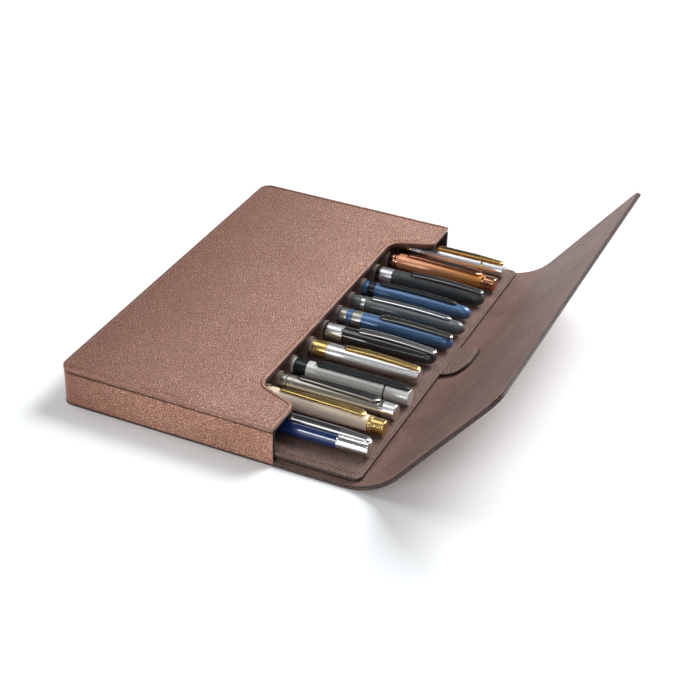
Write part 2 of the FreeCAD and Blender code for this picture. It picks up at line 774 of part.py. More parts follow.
def cap_radius_at(number, place):
    """Return the cap's radius at a place between its middle and its closed end."""
    length = pen_size(number, "cap_length")
    belly, crown = pen_size(number, "belly_radius"), pen_size(number, "crown_radius")
    share = f"(({place} - {length} / 2) / ({length} / 2))"
    return f"({belly} + ({crown} - {belly}) * max({share}; 0))"


def make_pen_cap(number):
    """Make a pen's cap, a shell from its lip band to its end piece."""
    body = new_pen_body(number, "cap")
    length = pen_size(number, "cap_length")
    start = pen_size(number, "band_length")
    end = f"({length} - {pen_size(number, 'finial_length')})"
    bore = f"({pen_size(number, 'lip_radius')} - {size('cap_wall')})"
    bore_end = size("cap_bore_length")
    outline = [
        (start, pen_size(number, "lip_radius")),
        (f"({length} / 2)", pen_size(number, "belly_radius")),
        (end, cap_radius_at(number, end)),
        (end, "0"),
        (bore_end, "0"),
        (bore_end, size("cap_bore_end_radius")),
        (total("grip_length", "cap_wall"), bore),
        (start, bore),
    ]
    turned(body, "shell", outline)


def add_pen_band(body, number):
    """Add the metal band at the cap's lip."""
    lip = pen_size(number, "lip_radius")
    bore = f"({lip} - {size('cap_wall')})"
    end = pen_size(number, "band_length")
    turned(body, "band", [("0", bore), ("0", lip), (end, lip), (end, bore)])


def add_pen_finial(body, number):
    """Add the end piece that closes the cap."""
    length = pen_size(number, "cap_length")
    start = f"({length} - {pen_size(number, 'finial_length')})"
    crown = pen_size(number, "crown_radius")
    shoulder = f"({length} - {size('barrel_end_chamfer')})"
    outline = [
        (start, "0"),
        (start, cap_radius_at(number, start)),
        (shoulder, crown),
        (length, f"({crown} - {size('barrel_end_chamfer')})"),
        (length, "0"),
    ]
    turned(body, "finial", outline)


def add_pen_ring(body, number):
    """Add the thin ring that sits round the cap near its closed end."""
    start = pen_size(number, "ring_start")
    end = f"({start} + {pen_size(number, 'ring_length')})"
    seat = f"({cap_radius_at(number, start)} + {size('ring_seat_gap')})"
    rim = f"({seat} + {size('ring_height')})"
    turned(body, "ring", [(start, seat), (start, rim), (end, rim), (end, seat)])


def add_pen_clip(body, number):
    """Add the clip, which stands on its heel near the cap's closed end."""
    toe, heel = pen_size(number, "clip_toe"), pen_size(number, "clip_heel")
    thickness = size("clip_thickness")
    ring_room = f"({size('ring_seat_gap')} + {size('ring_height')} + {size('ring_seat_gap')})"
    foot_start = f"({heel} - {size('clip_foot_length')})"
    foot_base = f"({cap_radius_at(number, foot_start)} + {ring_room})"
    toe_base = f"({pen_size(number, 'belly_radius')} + {size('clip_toe_gap')})"
    top = f"({pen_size(number, 'belly_radius')} + {size('clip_rise')} + {thickness})"
    toe_end = f"({toe} + {size('clip_toe_length')})"
    outline = [
        (heel, foot_base),
        (heel, top),
        (toe_end, top),
        (toe, f"({toe_base} + {thickness})"),
        (toe, toe_base),
        (toe_end, toe_base),
        (toe_end, f"({top} - {thickness})"),
        (foot_start, f"({top} - {thickness})"),
        (foot_start, foot_base),
    ]
    sketch = new_sketch(body, "clip_side", "XZ_Plane")
    add_polygon(sketch, outline)
    pad_both_ways(body, "clip", sketch, pen_size(number, "clip_width"))


def make_pen_trim(number):
    """Make a pen's metal fittings: lip band, end piece, ring and clip, as separate solids."""
    body = new_pen_body(number, "trim")
    add_pen_band(body, number)
    add_pen_finial(body, number)
    add_pen_ring(body, number)
    add_pen_clip(body, number)


def make_pens():
    """Make the twelve pens."""
    for number in range(1, len(PENS) + 1):
        make_pen_barrel(number)
        make_pen_cap(number)
        make_pen_trim(number)


# Checking and writing


def check_document():
    """Stop if any object of the document failed or a sub-part has no sound shape."""
    doc.recompute()
    for item in doc.Objects:
        if "Invalid" in item.State or "Error" in item.State:
            raise RuntimeError(f"{item.Name} did not build: {item.State}")
        if item.TypeId == "PartDesign::Body" and (item.Shape.isNull() or not item.Shape.isValid()):
            raise RuntimeError(f"{item.Label} has no sound shape")


def write_parts():
    """Write each sub-part to its own file."""
    os.makedirs("parts", exist_ok=True)
    bodies = [item for item in doc.Objects if item.TypeId == "PartDesign::Body"]
    for body in bodies:
        body.Shape.exportStep(f"parts/{body.Label}.step")
        box = body.Shape.BoundBox
        print(
            f"{body.Label}: {len(body.Shape.Solids)} solid(s), {body.Shape.Volume:.0f} mm3, "
            f"x {box.XMin:.1f} to {box.XMax:.1f}, y {box.YMin:.1f} to {box.YMax:.1f}, "
            f"z {box.ZMin:.1f} to {box.ZMax:.1f}"
        )
    print(f"{len(bodies)} sub-parts")


def main():
    """Build the whole case and write its sub-parts."""
    make_sleeve()
    make_flap()
    make_tray()
    make_pens()
    check_document()
    write_parts()


main()
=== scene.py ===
"""The looks of a leather pen case with twelve pens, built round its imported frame.

Lengths are metres. MM turns a size in millimetres into one.
"""

import json
import logging
import math
from collections.abc import Callable, Iterator
from contextlib import contextmanager
from dataclasses import dataclass
from enum import Enum
from typing import Any

import bmesh
import bpy
from mathutils import Euler, Matrix, Vector
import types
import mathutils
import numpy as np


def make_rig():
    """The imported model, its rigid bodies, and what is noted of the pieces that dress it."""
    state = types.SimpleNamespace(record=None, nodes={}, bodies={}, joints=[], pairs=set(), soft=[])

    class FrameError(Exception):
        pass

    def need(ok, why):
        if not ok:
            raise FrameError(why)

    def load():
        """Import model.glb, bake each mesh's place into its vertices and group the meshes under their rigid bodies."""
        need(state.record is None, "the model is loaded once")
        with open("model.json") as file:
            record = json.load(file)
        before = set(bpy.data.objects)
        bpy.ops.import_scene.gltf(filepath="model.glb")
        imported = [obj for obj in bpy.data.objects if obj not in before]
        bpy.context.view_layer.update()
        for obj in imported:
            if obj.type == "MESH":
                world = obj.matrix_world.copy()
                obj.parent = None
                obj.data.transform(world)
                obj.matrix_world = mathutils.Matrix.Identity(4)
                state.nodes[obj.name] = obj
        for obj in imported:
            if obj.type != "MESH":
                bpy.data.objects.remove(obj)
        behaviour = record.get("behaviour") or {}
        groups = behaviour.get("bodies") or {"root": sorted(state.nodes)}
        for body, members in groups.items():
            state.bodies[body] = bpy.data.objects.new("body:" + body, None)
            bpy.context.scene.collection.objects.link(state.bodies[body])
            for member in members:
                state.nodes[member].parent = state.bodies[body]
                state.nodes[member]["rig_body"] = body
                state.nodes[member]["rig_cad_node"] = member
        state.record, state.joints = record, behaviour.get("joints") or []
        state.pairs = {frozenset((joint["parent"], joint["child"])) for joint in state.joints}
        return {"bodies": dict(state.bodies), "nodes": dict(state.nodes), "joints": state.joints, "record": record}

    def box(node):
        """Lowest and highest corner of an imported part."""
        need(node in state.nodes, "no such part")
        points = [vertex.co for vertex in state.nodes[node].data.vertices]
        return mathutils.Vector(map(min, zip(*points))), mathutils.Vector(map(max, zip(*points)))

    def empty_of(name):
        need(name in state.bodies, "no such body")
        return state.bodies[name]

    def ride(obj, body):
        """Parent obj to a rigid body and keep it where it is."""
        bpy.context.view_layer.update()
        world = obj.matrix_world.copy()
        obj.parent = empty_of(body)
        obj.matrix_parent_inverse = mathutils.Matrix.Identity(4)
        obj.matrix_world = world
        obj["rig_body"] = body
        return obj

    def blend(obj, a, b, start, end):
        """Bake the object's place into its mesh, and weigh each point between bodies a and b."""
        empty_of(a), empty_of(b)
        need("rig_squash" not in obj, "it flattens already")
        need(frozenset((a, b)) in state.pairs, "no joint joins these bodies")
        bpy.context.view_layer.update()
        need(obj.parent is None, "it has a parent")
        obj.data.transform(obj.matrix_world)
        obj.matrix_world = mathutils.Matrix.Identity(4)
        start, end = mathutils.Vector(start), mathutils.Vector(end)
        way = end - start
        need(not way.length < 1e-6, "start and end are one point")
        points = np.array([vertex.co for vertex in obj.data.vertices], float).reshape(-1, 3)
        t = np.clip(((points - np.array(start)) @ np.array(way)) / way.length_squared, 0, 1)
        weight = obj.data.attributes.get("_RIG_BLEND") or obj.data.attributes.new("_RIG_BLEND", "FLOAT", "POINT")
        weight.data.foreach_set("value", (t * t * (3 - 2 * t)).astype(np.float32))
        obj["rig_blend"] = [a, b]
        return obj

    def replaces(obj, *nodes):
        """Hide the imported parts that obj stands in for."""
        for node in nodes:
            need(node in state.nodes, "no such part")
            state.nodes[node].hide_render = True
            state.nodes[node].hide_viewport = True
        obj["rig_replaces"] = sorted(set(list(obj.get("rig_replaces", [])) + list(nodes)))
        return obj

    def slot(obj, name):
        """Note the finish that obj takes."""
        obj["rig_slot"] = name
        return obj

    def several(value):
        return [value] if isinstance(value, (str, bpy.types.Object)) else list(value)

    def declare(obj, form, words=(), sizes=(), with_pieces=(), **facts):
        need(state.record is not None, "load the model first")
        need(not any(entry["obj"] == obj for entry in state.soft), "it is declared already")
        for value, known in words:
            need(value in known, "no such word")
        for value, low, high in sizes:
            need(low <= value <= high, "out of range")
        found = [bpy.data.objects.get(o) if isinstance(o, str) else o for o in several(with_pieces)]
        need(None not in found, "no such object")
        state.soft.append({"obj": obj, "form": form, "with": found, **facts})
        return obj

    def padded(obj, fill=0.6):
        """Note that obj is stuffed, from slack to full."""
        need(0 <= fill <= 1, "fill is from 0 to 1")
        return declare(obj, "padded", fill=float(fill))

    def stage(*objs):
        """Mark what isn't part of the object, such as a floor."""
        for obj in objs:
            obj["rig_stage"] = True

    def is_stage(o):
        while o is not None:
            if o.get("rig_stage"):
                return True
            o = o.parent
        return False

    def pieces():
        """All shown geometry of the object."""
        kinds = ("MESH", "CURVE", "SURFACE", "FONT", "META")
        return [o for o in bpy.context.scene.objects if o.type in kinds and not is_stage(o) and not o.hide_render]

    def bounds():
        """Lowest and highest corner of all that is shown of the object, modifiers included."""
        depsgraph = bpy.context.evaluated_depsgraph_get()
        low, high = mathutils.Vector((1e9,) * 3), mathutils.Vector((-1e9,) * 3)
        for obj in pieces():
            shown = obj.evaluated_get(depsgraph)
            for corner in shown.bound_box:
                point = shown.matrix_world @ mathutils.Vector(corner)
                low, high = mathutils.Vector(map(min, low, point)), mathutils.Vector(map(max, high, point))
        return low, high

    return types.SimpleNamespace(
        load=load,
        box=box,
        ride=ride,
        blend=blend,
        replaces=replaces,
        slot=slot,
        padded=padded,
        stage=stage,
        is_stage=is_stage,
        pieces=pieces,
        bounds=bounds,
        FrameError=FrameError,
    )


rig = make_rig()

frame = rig.load()
CAD_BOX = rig.bounds()

SIZE_FILE = "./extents.json"
MM = 0.001
NEAR = 0.02 * MM
FINISHED = "_finish"
UP = Vector((0, 0, 1))
WHITE = (1, 1, 1, 1)
BLACK = (0, 0, 0, 1)

# Shares of an axis in a face's normal: a level face, a face that looks along the axis,
# the painted edge of a sheet and an upright face
LEVEL = 0.999
FACING = 0.9
EDGE_SLOPE = 0.85
UPRIGHT = 0.3

# The stretch of a noise pattern that holds nearly all of it
NOISE_SPAN = (0.3, 0.7)
NOISE_CORE = (0.35, 0.65)
log = logging.getLogger("pen_case")

Colour = tuple[float, float, float, float]
Spot = tuple[Vector, Vector, Vector]


def shade(red: int, green: int, blue: int) -> Colour:
    """Turn a screen colour into the linear colour that a shader takes.

    Args:
        red: Red, from 0 to 255.
        green: Green, from 0 to 255.
        blue: Blue, from 0 to 255.

    Returns:
        The colour as linear red, green, blue and a full alpha.
    """
    parts = (part / 255 for part in (red, green, blue))
    linear = [p / 12.92 if p <= 0.04045 else ((p + 0.055) / 1.055) ** 2.4 for p in parts]
    return (*linear, 1.0)


def dimmed(colour: Colour, shares: tuple[float, ...]) -> Colour:
    """Return a colour with its red, green and blue each cut to a share."""
    return (*(part * share for part, share in zip(colour, shares)), 1.0)


# Finishes


class Graph:
    """The node tree of a material or a world, with the calls that its maker needs."""

    def __init__(self, name: str, world: bool = False) -> None:
        """Start a material, or a world, with its usual shader."""
        self.owner = (bpy.data.worlds if world else bpy.data.materials).new(name)
        self.owner.use_nodes = True
        self.nodes = self.owner.node_tree.nodes
        self.links = self.owner.node_tree.links
        self.shader = self.nodes["Background" if world else "Principled BSDF"]

    def feed(self, socket: bpy.types.NodeSocket, source: Any) -> None:
        """Link a socket to another one, or set its value."""
        if isinstance(source, bpy.types.NodeSocket):
            self.links.new(source, socket)
        else:
            socket.default_value = source

    def add(self, kind: str, inputs: dict[Any, Any], **settings: Any) -> bpy.types.Node:
        """Add a node.

        Args:
            kind: The node's type, without its ShaderNode prefix.
            inputs: What feeds each input, by the input's name or place.
            settings: The node's own settings.

        Returns:
            The new node.
        """
        node = self.nodes.new(f"ShaderNode{kind}")
        for key, choice in settings.items():
            setattr(node, key, choice)
        for key, source in inputs.items():
            self.feed(node.inputs[key], source)
        return node

    def place(self, stretch: tuple[float, float, float] = (1, 1, 1)) -> bpy.types.NodeSocket:
        """Return the place on the object, stretched along its axes."""
        spot = self.add("TexCoord", {}).outputs["Object"]
        return self.add("Mapping", {"Vector": spot, "Scale": stretch}).outputs[0]

    def noise(self, vector: bpy.types.NodeSocket, size: float, detail: float = 3) -> Any:
        """Return a cloudy pattern whose patches have a size."""
        inputs = {"Vector": vector, "Scale": 1 / size, "Detail": detail}
        return self.add("TexNoise", inputs).outputs[0]

    def ramp(self, source: Any, low: float, high: float, start: float = 0, end: float = 1) -> Any:
        """Return a value stretched from low..high to start..end, and held there."""
        inputs = {0: source, 1: low, 2: high, 3: start, 4: end}
        return self.add("MapRange", inputs).outputs[0]

    def mix(self, share: Any, first: Any, second: Any) -> bpy.types.NodeSocket:
        """Return a colour between two colours."""
        return self.add("Mix", {0: share, 6: first, 7: second}, data_type="RGBA").outputs[2]

    def math(self, how: str, first: Any, second: Any) -> bpy.types.NodeSocket:
        """Return one sum, product or other result of two values."""
        return self.add("Math", {0: first, 1: second}, operation=how).outputs[0]

    def surface(self, inputs: dict[str, Any]) -> None:
        """Feed the shader's inputs, by their names."""
        for name, source in inputs.items():
            self.feed(self.shader.inputs[name], source)

    def bump(self, height: Any, depth: float) -> None:
        """Press a height pattern of a depth into the surface."""
        node = self.add("Bump", {"Strength": 1.0, "Distance": depth, "Height": height})
        self.surface({"Normal": node.outputs[0]})


@dataclass(frozen=True)
class Leather:
    """Grained leather: raised pebbles with dark creases, partly the leather's own tone and partly painted shade, and
    soft clouds of colour.
    """

    name: str
    colour: Colour
    crease: Colour
    cloud: Colour
    grain: float
    depth: float
    roughness: float
    # Painted shade along X: darkest before the first place, gone past the second
    burnish: tuple[float, float] | None = None

    # Shares of the grain's size
    WANDER = 0.4
    FINE_SIZE = 0.3
    WORN_SIZE = 1.8

    # How far from its edge a pebble rises, and how far the creases' dark colour, partly painted shade, fades from the
    # least tint
    PEBBLE_RISE = 0.34
    CREASE_FADE = 0.18
    LEAST_TINT = 0.1

    FINE_HEIGHT = 0.35
    CLOUD_SIZE = 28 * MM
    CLOUD_SPAN = (0.35, 0.7)
    WORN_RAMP = (0.33, 0.64, 0.78, 1.0)
    # The shares of red, green and blue that the painted shade leaves
    BURNT = (0.36, 0.21, 0.14)
    SMOOTHER, ROUGHER = -0.06, 0.08
    SHEEN = 0.05
    GLOSS = 0.42

    def build(self) -> bpy.types.Material:
        """Make the material, darkened towards low X by a painted shade."""
        graph = Graph(self.name + FINISHED)
        place = graph.place()
        drift = {"Vector": place, "Scale": self.WANDER / self.grain}
        wander = graph.add("TexNoise", drift).outputs[1]
        pull = graph.add("VectorMath", {0: wander, "Scale": self.grain}, operation="SCALE")
        warped = graph.add("VectorMath", {0: place, 1: pull.outputs[0]}, operation="ADD")
        cells = {"Vector": warped.outputs[0], "Scale": 1 / self.grain}
        edge = graph.add("TexVoronoi", cells, feature="DISTANCE_TO_EDGE").outputs[0]
        pebble = graph.ramp(edge, 0.0, self.PEBBLE_RISE)
        fine = graph.noise(place, self.FINE_SIZE * self.grain, 4)
        clouds = graph.ramp(graph.noise(place, self.CLOUD_SIZE, 4), *self.CLOUD_SPAN)
        skin = graph.mix(clouds, self.colour, self.cloud)
        # Painted shade: the colour darkens towards low X, standing in for the light's fall-off there
        if self.burnish:
            across = graph.add("SeparateXYZ", {0: place}).outputs[0]
            share = graph.ramp(across, *self.burnish)
            skin = graph.mix(share, dimmed(self.colour, self.BURNT), skin)
        worn = graph.ramp(graph.noise(place, self.WORN_SIZE * self.grain), *self.WORN_RAMP)
        # The creases take their dark colour, partly the leather's own and partly painted shade
        fade = graph.ramp(edge, 0.0, self.CREASE_FADE, self.LEAST_TINT)
        smooth, rough = self.roughness + self.SMOOTHER, self.roughness + self.ROUGHER
        graph.surface({
            "Base Color": graph.mix(graph.math("MULTIPLY", fade, worn), self.crease, skin),
            "Roughness": graph.ramp(fine, *NOISE_SPAN, smooth, rough),
            "Sheen Weight": self.SHEEN,
            "Specular IOR Level": self.GLOSS,
        })
        pores = graph.math("MULTIPLY", fine, self.FINE_HEIGHT)
        graph.bump(graph.math("ADD", pebble, pores), self.depth)
        return graph.owner


@dataclass(frozen=True)
class Coat:
    """A hard finish: bare or plated metal, lacquer or moulded plastic."""

    name: str
    colour: Colour
    metallic: float
    roughness: float
    end_colour: Colour | None = None
    span: tuple[float, float] = (0.0, 1.0)
    streak: float = 0.15
    coat: float = 0.0
    tooth: float = 0.0

    ALONG_PEN = (0.02, 1, 1)
    STREAK_SIZE = 0.35 * MM
    WEAR_SIZE = 9 * MM
    TOOTH_SIZE = 0.9 * MM
    COAT_ROUGHNESS = 0.04
    SMOOTHER, ROUGHER = 0.96, 1.06

    def build(self) -> bpy.types.Material:
        """Make the material, with fine streaks along the pen and a worn roughness."""
        graph = Graph(self.name + FINISHED)
        place = graph.place()
        colour: Any = self.colour
        if self.end_colour is not None:
            along = graph.add("SeparateXYZ", {0: place}).outputs[0]
            colour = graph.mix(graph.ramp(along, *self.span), self.colour, self.end_colour)
        lines = graph.noise(graph.place(self.ALONG_PEN), self.STREAK_SIZE, 2)
        share = graph.ramp(lines, *NOISE_CORE, 0.0, self.streak)
        wear = graph.noise(place, self.WEAR_SIZE, 1)
        smooth, rough = self.roughness * self.SMOOTHER, self.roughness * self.ROUGHER
        graph.surface({
            "Base Color": graph.mix(share, colour, dimmed(self.colour, (1 - self.streak,) * 3)),
            "Roughness": graph.ramp(wear, *NOISE_CORE, smooth, rough),
            "Metallic": self.metallic,
            "Coat Weight": self.coat,
            "Coat Roughness": self.COAT_ROUGHNESS,
        })
        if self.tooth:
            cells = {"Vector": place, "Scale": 1 / self.TOOTH_SIZE}
            graph.bump(graph.add("TexVoronoi", cells).outputs[0], self.tooth)
        return graph.owner


@dataclass(frozen=True)
class Fibre:
    """A dull finish of fine fibres: thread, elastic, card, suede or edge paint."""

    name: str
    colour: Colour
    roughness: float = 0.8
    fibre: float = 0.5 * MM
    stretch: tuple[float, float, float] = (1, 1, 1)

    SHADOW = (0.6, 0.6, 0.6)
    ROUGH_SPREAD = 0.08
    DEPTH = 0.05 * MM

    def build(self) -> bpy.types.Material:
        """Make the material."""
        graph = Graph(self.name + FINISHED)
        fibres = graph.noise(graph.place(self.stretch), self.fibre, 4)
        share = graph.ramp(fibres, *NOISE_SPAN)
        smooth, rough = self.roughness - self.ROUGH_SPREAD, self.roughness + self.ROUGH_SPREAD
        graph.surface({
            "Base Color": graph.mix(share, dimmed(self.colour, self.SHADOW), self.colour),
            "Roughness": graph.ramp(fibres, *NOISE_SPAN, smooth, rough),
        })
        graph.bump(fibres, self.DEPTH)
        return graph.owner


Finish = Leather | Coat | Fibre

# The case and band leathers darken towards their left ends with painted shade
CASE_LEATHER = Leather(
    "case_leather", shade(232, 182, 160), shade(92, 54, 42), shade(218, 165, 142),
    1.5 * MM, 0.9 * MM, 0.34, burnish=(-88 * MM, 35 * MM),
)
# A brighter, redder copy of the case leather for the band, which is the same leather: painted light
LIT_BAND_LEATHER = Leather(
    "band_leather", shade(250, 190, 162), shade(104, 60, 46), shade(236, 172, 144),
    1.5 * MM, 0.8 * MM, 0.34, burnish=(-95 * MM, -10 * MM),
)
LINING_LEATHER = Leather(
    "lining_leather", shade(147, 113, 102), shade(86, 60, 53), shade(116, 86, 77),
    1.2 * MM, 0.3 * MM, 0.55,
)
TRAY_LEATHER = Leather(
    "tray_leather", shade(148, 119, 108), shade(60, 42, 36), shade(130, 102, 92),
    1.3 * MM, 0.4 * MM, 0.44,
)
RIM_LEATHER = Fibre("rim_leather", shade(160, 112, 95), 0.36, 1.2 * MM)
# Dark colour painted into the seams' grooves: painted shade
SEAM_SHADE = Fibre("seam_groove", shade(84, 50, 40), 0.6, 1.2 * MM)
EDGE_PAINT = Fibre("edge_paint", shade(92, 50, 44), 0.45, 1.5 * MM)
DARK_EDGE = Fibre("dark_edge", shade(52, 32, 29), 0.45, 1.5 * MM)
THREAD = Fibre("thread", shade(186, 138, 118), 0.5, 0.2 * MM)
LINING_THREAD = Fibre("lining_thread", shade(184, 156, 142), 0.6, 0.2 * MM)
INNER_LINING = Fibre("inner_lining", shade(58, 42, 38), 0.85)
CARD_BOARD = Fibre("card_board", shade(46, 33, 29), 0.9)
PADDING = Fibre("padding", shade(150, 140, 130), 0.95)
ELASTIC = Fibre("elastic", shade(132, 110, 101), 0.7, 0.4 * MM, (1, 0.1, 0.1))
MAGNET = Coat("magnet", shade(170, 170, 172), 1.0, 0.3)

NAVY = Coat("navy_gloss", shade(20, 46, 98), 0.0, 0.24, streak=0.0, coat=1.0)
IVORY = Coat("ivory_gloss", shade(240, 220, 196), 0.0, 0.3, streak=0.05, coat=0.6)
GUNMETAL = Coat("gunmetal", shade(182, 180, 172), 1.0, 0.32, streak=0.16)
GREY_MATTE = Coat("grey_matte", shade(212, 214, 210), 0.4, 0.4, streak=0.06)
SILVER = Coat("silver_satin", shade(228, 228, 230), 1.0, 0.34, streak=0.12)
BLACK_GLOSS = Coat("black_gloss", shade(34, 36, 38), 0.2, 0.22, streak=0.0, coat=1.0)
BLUE = Coat("blue_satin", shade(72, 108, 152), 0.4, 0.34, streak=0.06, coat=0.6)
GRAPHITE = Coat("graphite_matte", shade(94, 100, 100), 0.4, 0.4, streak=0.06, coat=0.4)
BLACK_TEXTURE = Coat("black_texture", shade(58, 62, 62), 0.1, 0.42, streak=0.2, tooth=0.12 * MM)
CHROME = Coat("chrome_trim", shade(228, 229, 231), 1.0, 0.19, streak=0.0)
GOLD = Coat("gold_trim", shade(222, 190, 122), 1.0, 0.26, streak=0.0)
BLACK_TRIM = Coat("black_trim", shade(52, 56, 58), 0.7, 0.28, streak=0.1)
GREY_TRIM = Coat("grey_trim", shade(152, 152, 152), 1.0, 0.2, streak=0.15)
ROSE = Coat("rose_trim", shade(214, 150, 122), 1.0, 0.16, streak=0.12)
# Near-black strip laid along a clip's slot: painted shade
SLOT_SHADE = Coat("dark_metal", shade(22, 22, 24), 0.2, 0.4, streak=0.0)


def material(finish: Finish) -> bpy.types.Material:
    """Return a finish's material, which is made once."""
    return bpy.data.materials.get(finish.name + FINISHED) or finish.build()


# Modelling


class Part(Enum):
    """What is picked in edit mode."""

    POINT = "VERT"
    EDGE = "EDGE"
    FACE = "FACE"


def free() -> None:
    """Deselect every object."""
    bpy.ops.object.select_all(action="DESELECT")


def take(piece: bpy.types.Object) -> None:
    """Select one object alone and make it the active one."""
    free()
    piece.select_set(True)
    bpy.context.view_layer.objects.active = piece


@contextmanager
def editing(piece: bpy.types.Object) -> Iterator[None]:
    """Hold a mesh in edit mode, with all of it selected at the start."""
    take(piece)
    bpy.ops.object.mode_set(mode="EDIT")
    bpy.ops.mesh.select_all(action="SELECT")
    yield
    bpy.ops.object.mode_set(mode="OBJECT")
    free()


def pick(part: Part, test: Callable[[Vector, Vector], bool]) -> int:
    """Select what passes a test, in the mesh that is in edit mode.

    Args:
        part: Points, edges or faces.
        test: Takes a middle and a normal, or for an edge its run, and says whether it is picked.

    Returns:
        How many were picked.
    """
    bpy.ops.mesh.select_mode(type=part.value)
    bpy.ops.mesh.select_all(action="DESELECT")
    mesh = bmesh.from_edit_mesh(bpy.context.object.data)
    mesh.normal_update()
    if part is Part.FACE:
        found = [f for f in mesh.faces if test(f.calc_center_median(), f.normal)]
    elif part is Part.EDGE:
        ends = ((e, *(v.co for v in e.verts)) for e in mesh.edges)
        found = [e for e, a, b in ends if test((a + b) / 2, b - a)]
    else:
        found = [v for v in mesh.verts if test(v.co, v.normal)]
    for item in found:
        item.select_set(True)
    mesh.select_flush_mode()
    bmesh.update_edit_mesh(bpy.context.object.data)
    return len(found)


def apply_modifier(piece: bpy.types.Object, kind: str, **settings: Any) -> None:
    """Add a modifier with its settings and apply it."""
    take(piece)
    modifier = piece.modifiers.new(kind.lower(), kind)
    for key, choice in settings.items():
        setattr(modifier, key, choice)
    bpy.ops.object.modifier_apply(modifier=modifier.name)


def settle(piece: bpy.types.Object, name: str) -> bpy.types.Object:
    """Name a new primitive and put its place, turn and size into its mesh."""
    piece.name = name
    take(piece)
    bpy.ops.object.transform_apply(location=True, rotation=True, scale=True)
    return piece


def dress(piece: bpy.types.Object, *finishes: Finish, angle: float = 32) -> bpy.types.Object:
    """Give a piece its finishes and smooth shading.

    Args:
        piece: The piece.
        finishes: Its finishes, in the order of its material slots.
        angle: Edges sharper than this, in degrees, stay crisp.

    Returns:
        The piece.
    """
    piece.data.materials.clear()
    for finish in finishes:
        piece.data.materials.append(material(finish))
    take(piece)
    bpy.ops.object.shade_smooth_by_angle(angle=math.radians(angle))
    return piece


def paint(piece: bpy.types.Object, index: int, test: Callable[[Vector, Vector], bool]) -> None:
    """Give the faces that pass a test another of the piece's material slots."""
    for face in piece.data.polygons:
        if test(face.center, face.normal):
            face.material_index = index


def joined(name: str, pieces: list[bpy.types.Object]) -> bpy.types.Object:
    """Join pieces into the first one and name it."""
    free()
    for piece in pieces:
        piece.select_set(True)
    bpy.context.view_layer.objects.active = pieces[0]
    if len(pieces) > 1:
        bpy.ops.object.join()
    pieces[0].name = name
    return pieces[0]


def slab(name: str, low: Vector, high: Vector) -> bpy.types.Object:
    """Start a piece as a slab between two corners."""
    bpy.ops.mesh.primitive_cube_add(size=1, location=(low + high) / 2)
    piece = bpy.context.object
    piece.scale = high - low
    return settle(piece, name)


def added(name: str, data: bpy.types.ID) -> bpy.types.Object:
    """Put a new object with its data into the scene."""
    piece = bpy.data.objects.new(name, data)
    bpy.context.scene.collection.objects.link(piece)
    return piece


def copy_of(node: str, name: str) -> bpy.types.Object:
    """Start a piece as a clean copy of a frame node's shape, in whole flat faces."""
    piece = added(name, frame["nodes"][node].data.copy())
    piece.data.materials.clear()
    with editing(piece):
        bpy.ops.mesh.customdata_custom_splitnormals_clear()
        bpy.ops.mesh.remove_doubles(threshold=NEAR)
        bpy.ops.mesh.dissolve_limited(angle_limit=math.radians(1))
    return piece


def level_edges(*heights: float) -> Callable[[Vector, Vector], bool]:
    """Return a test for edges that lie flat at one of some heights."""
    return lambda middle, run: abs(run.z) < NEAR and any(abs(middle.z - h) < NEAR for h in heights)


def round_picked(radius: float, segments: int = 3) -> None:
    """Round the picked edges."""
    bpy.ops.mesh.bevel(offset=radius, segments=segments, profile=0.5, affect="EDGES")


def round_corners(corners: dict[float, float], segments: int) -> None:
    """Round the upright edges at some places along X, each by its own radius."""
    for place, radius in corners.items():
        if radius:
            pick(Part.EDGE, lambda m, run: abs(run.z) > NEAR and abs(m.x - place) < NEAR)
            round_picked(radius, segments)


def terrace(steps: list[tuple[float, float]]) -> None:
    """Step the picked face inwards, each step by a width and a rise."""
    for width, rise in steps:
        bpy.ops.mesh.inset(thickness=width, depth=rise)


def step_in(low: Vector, high: Vector, steps: list[tuple[float, float]]) -> None:
    """Step a picked oblong face inwards and keep the roundness of its corners.

    Args:
        low: The face's lowest corner.
        high: Its highest corner.
        steps: The width and the rise of each step.
    """
    middle, size = (low + high) / 2, high - low
    for width, rise in steps:
        bpy.ops.mesh.extrude_region_move(TRANSFORM_OT_translate={"value": (0, 0, rise)})
        smaller = size - Vector((2 * width, 2 * width, 0))
        scale = (smaller.x / size.x, smaller.y / size.y, 1)
        bpy.ops.transform.resize(value=scale, center_override=middle)
        size = smaller


@dataclass(frozen=True)
class Ring:
    """One cross-section of a lofted piece, with its half width and half height."""

    x: float
    z: float
    across: float
    up: float


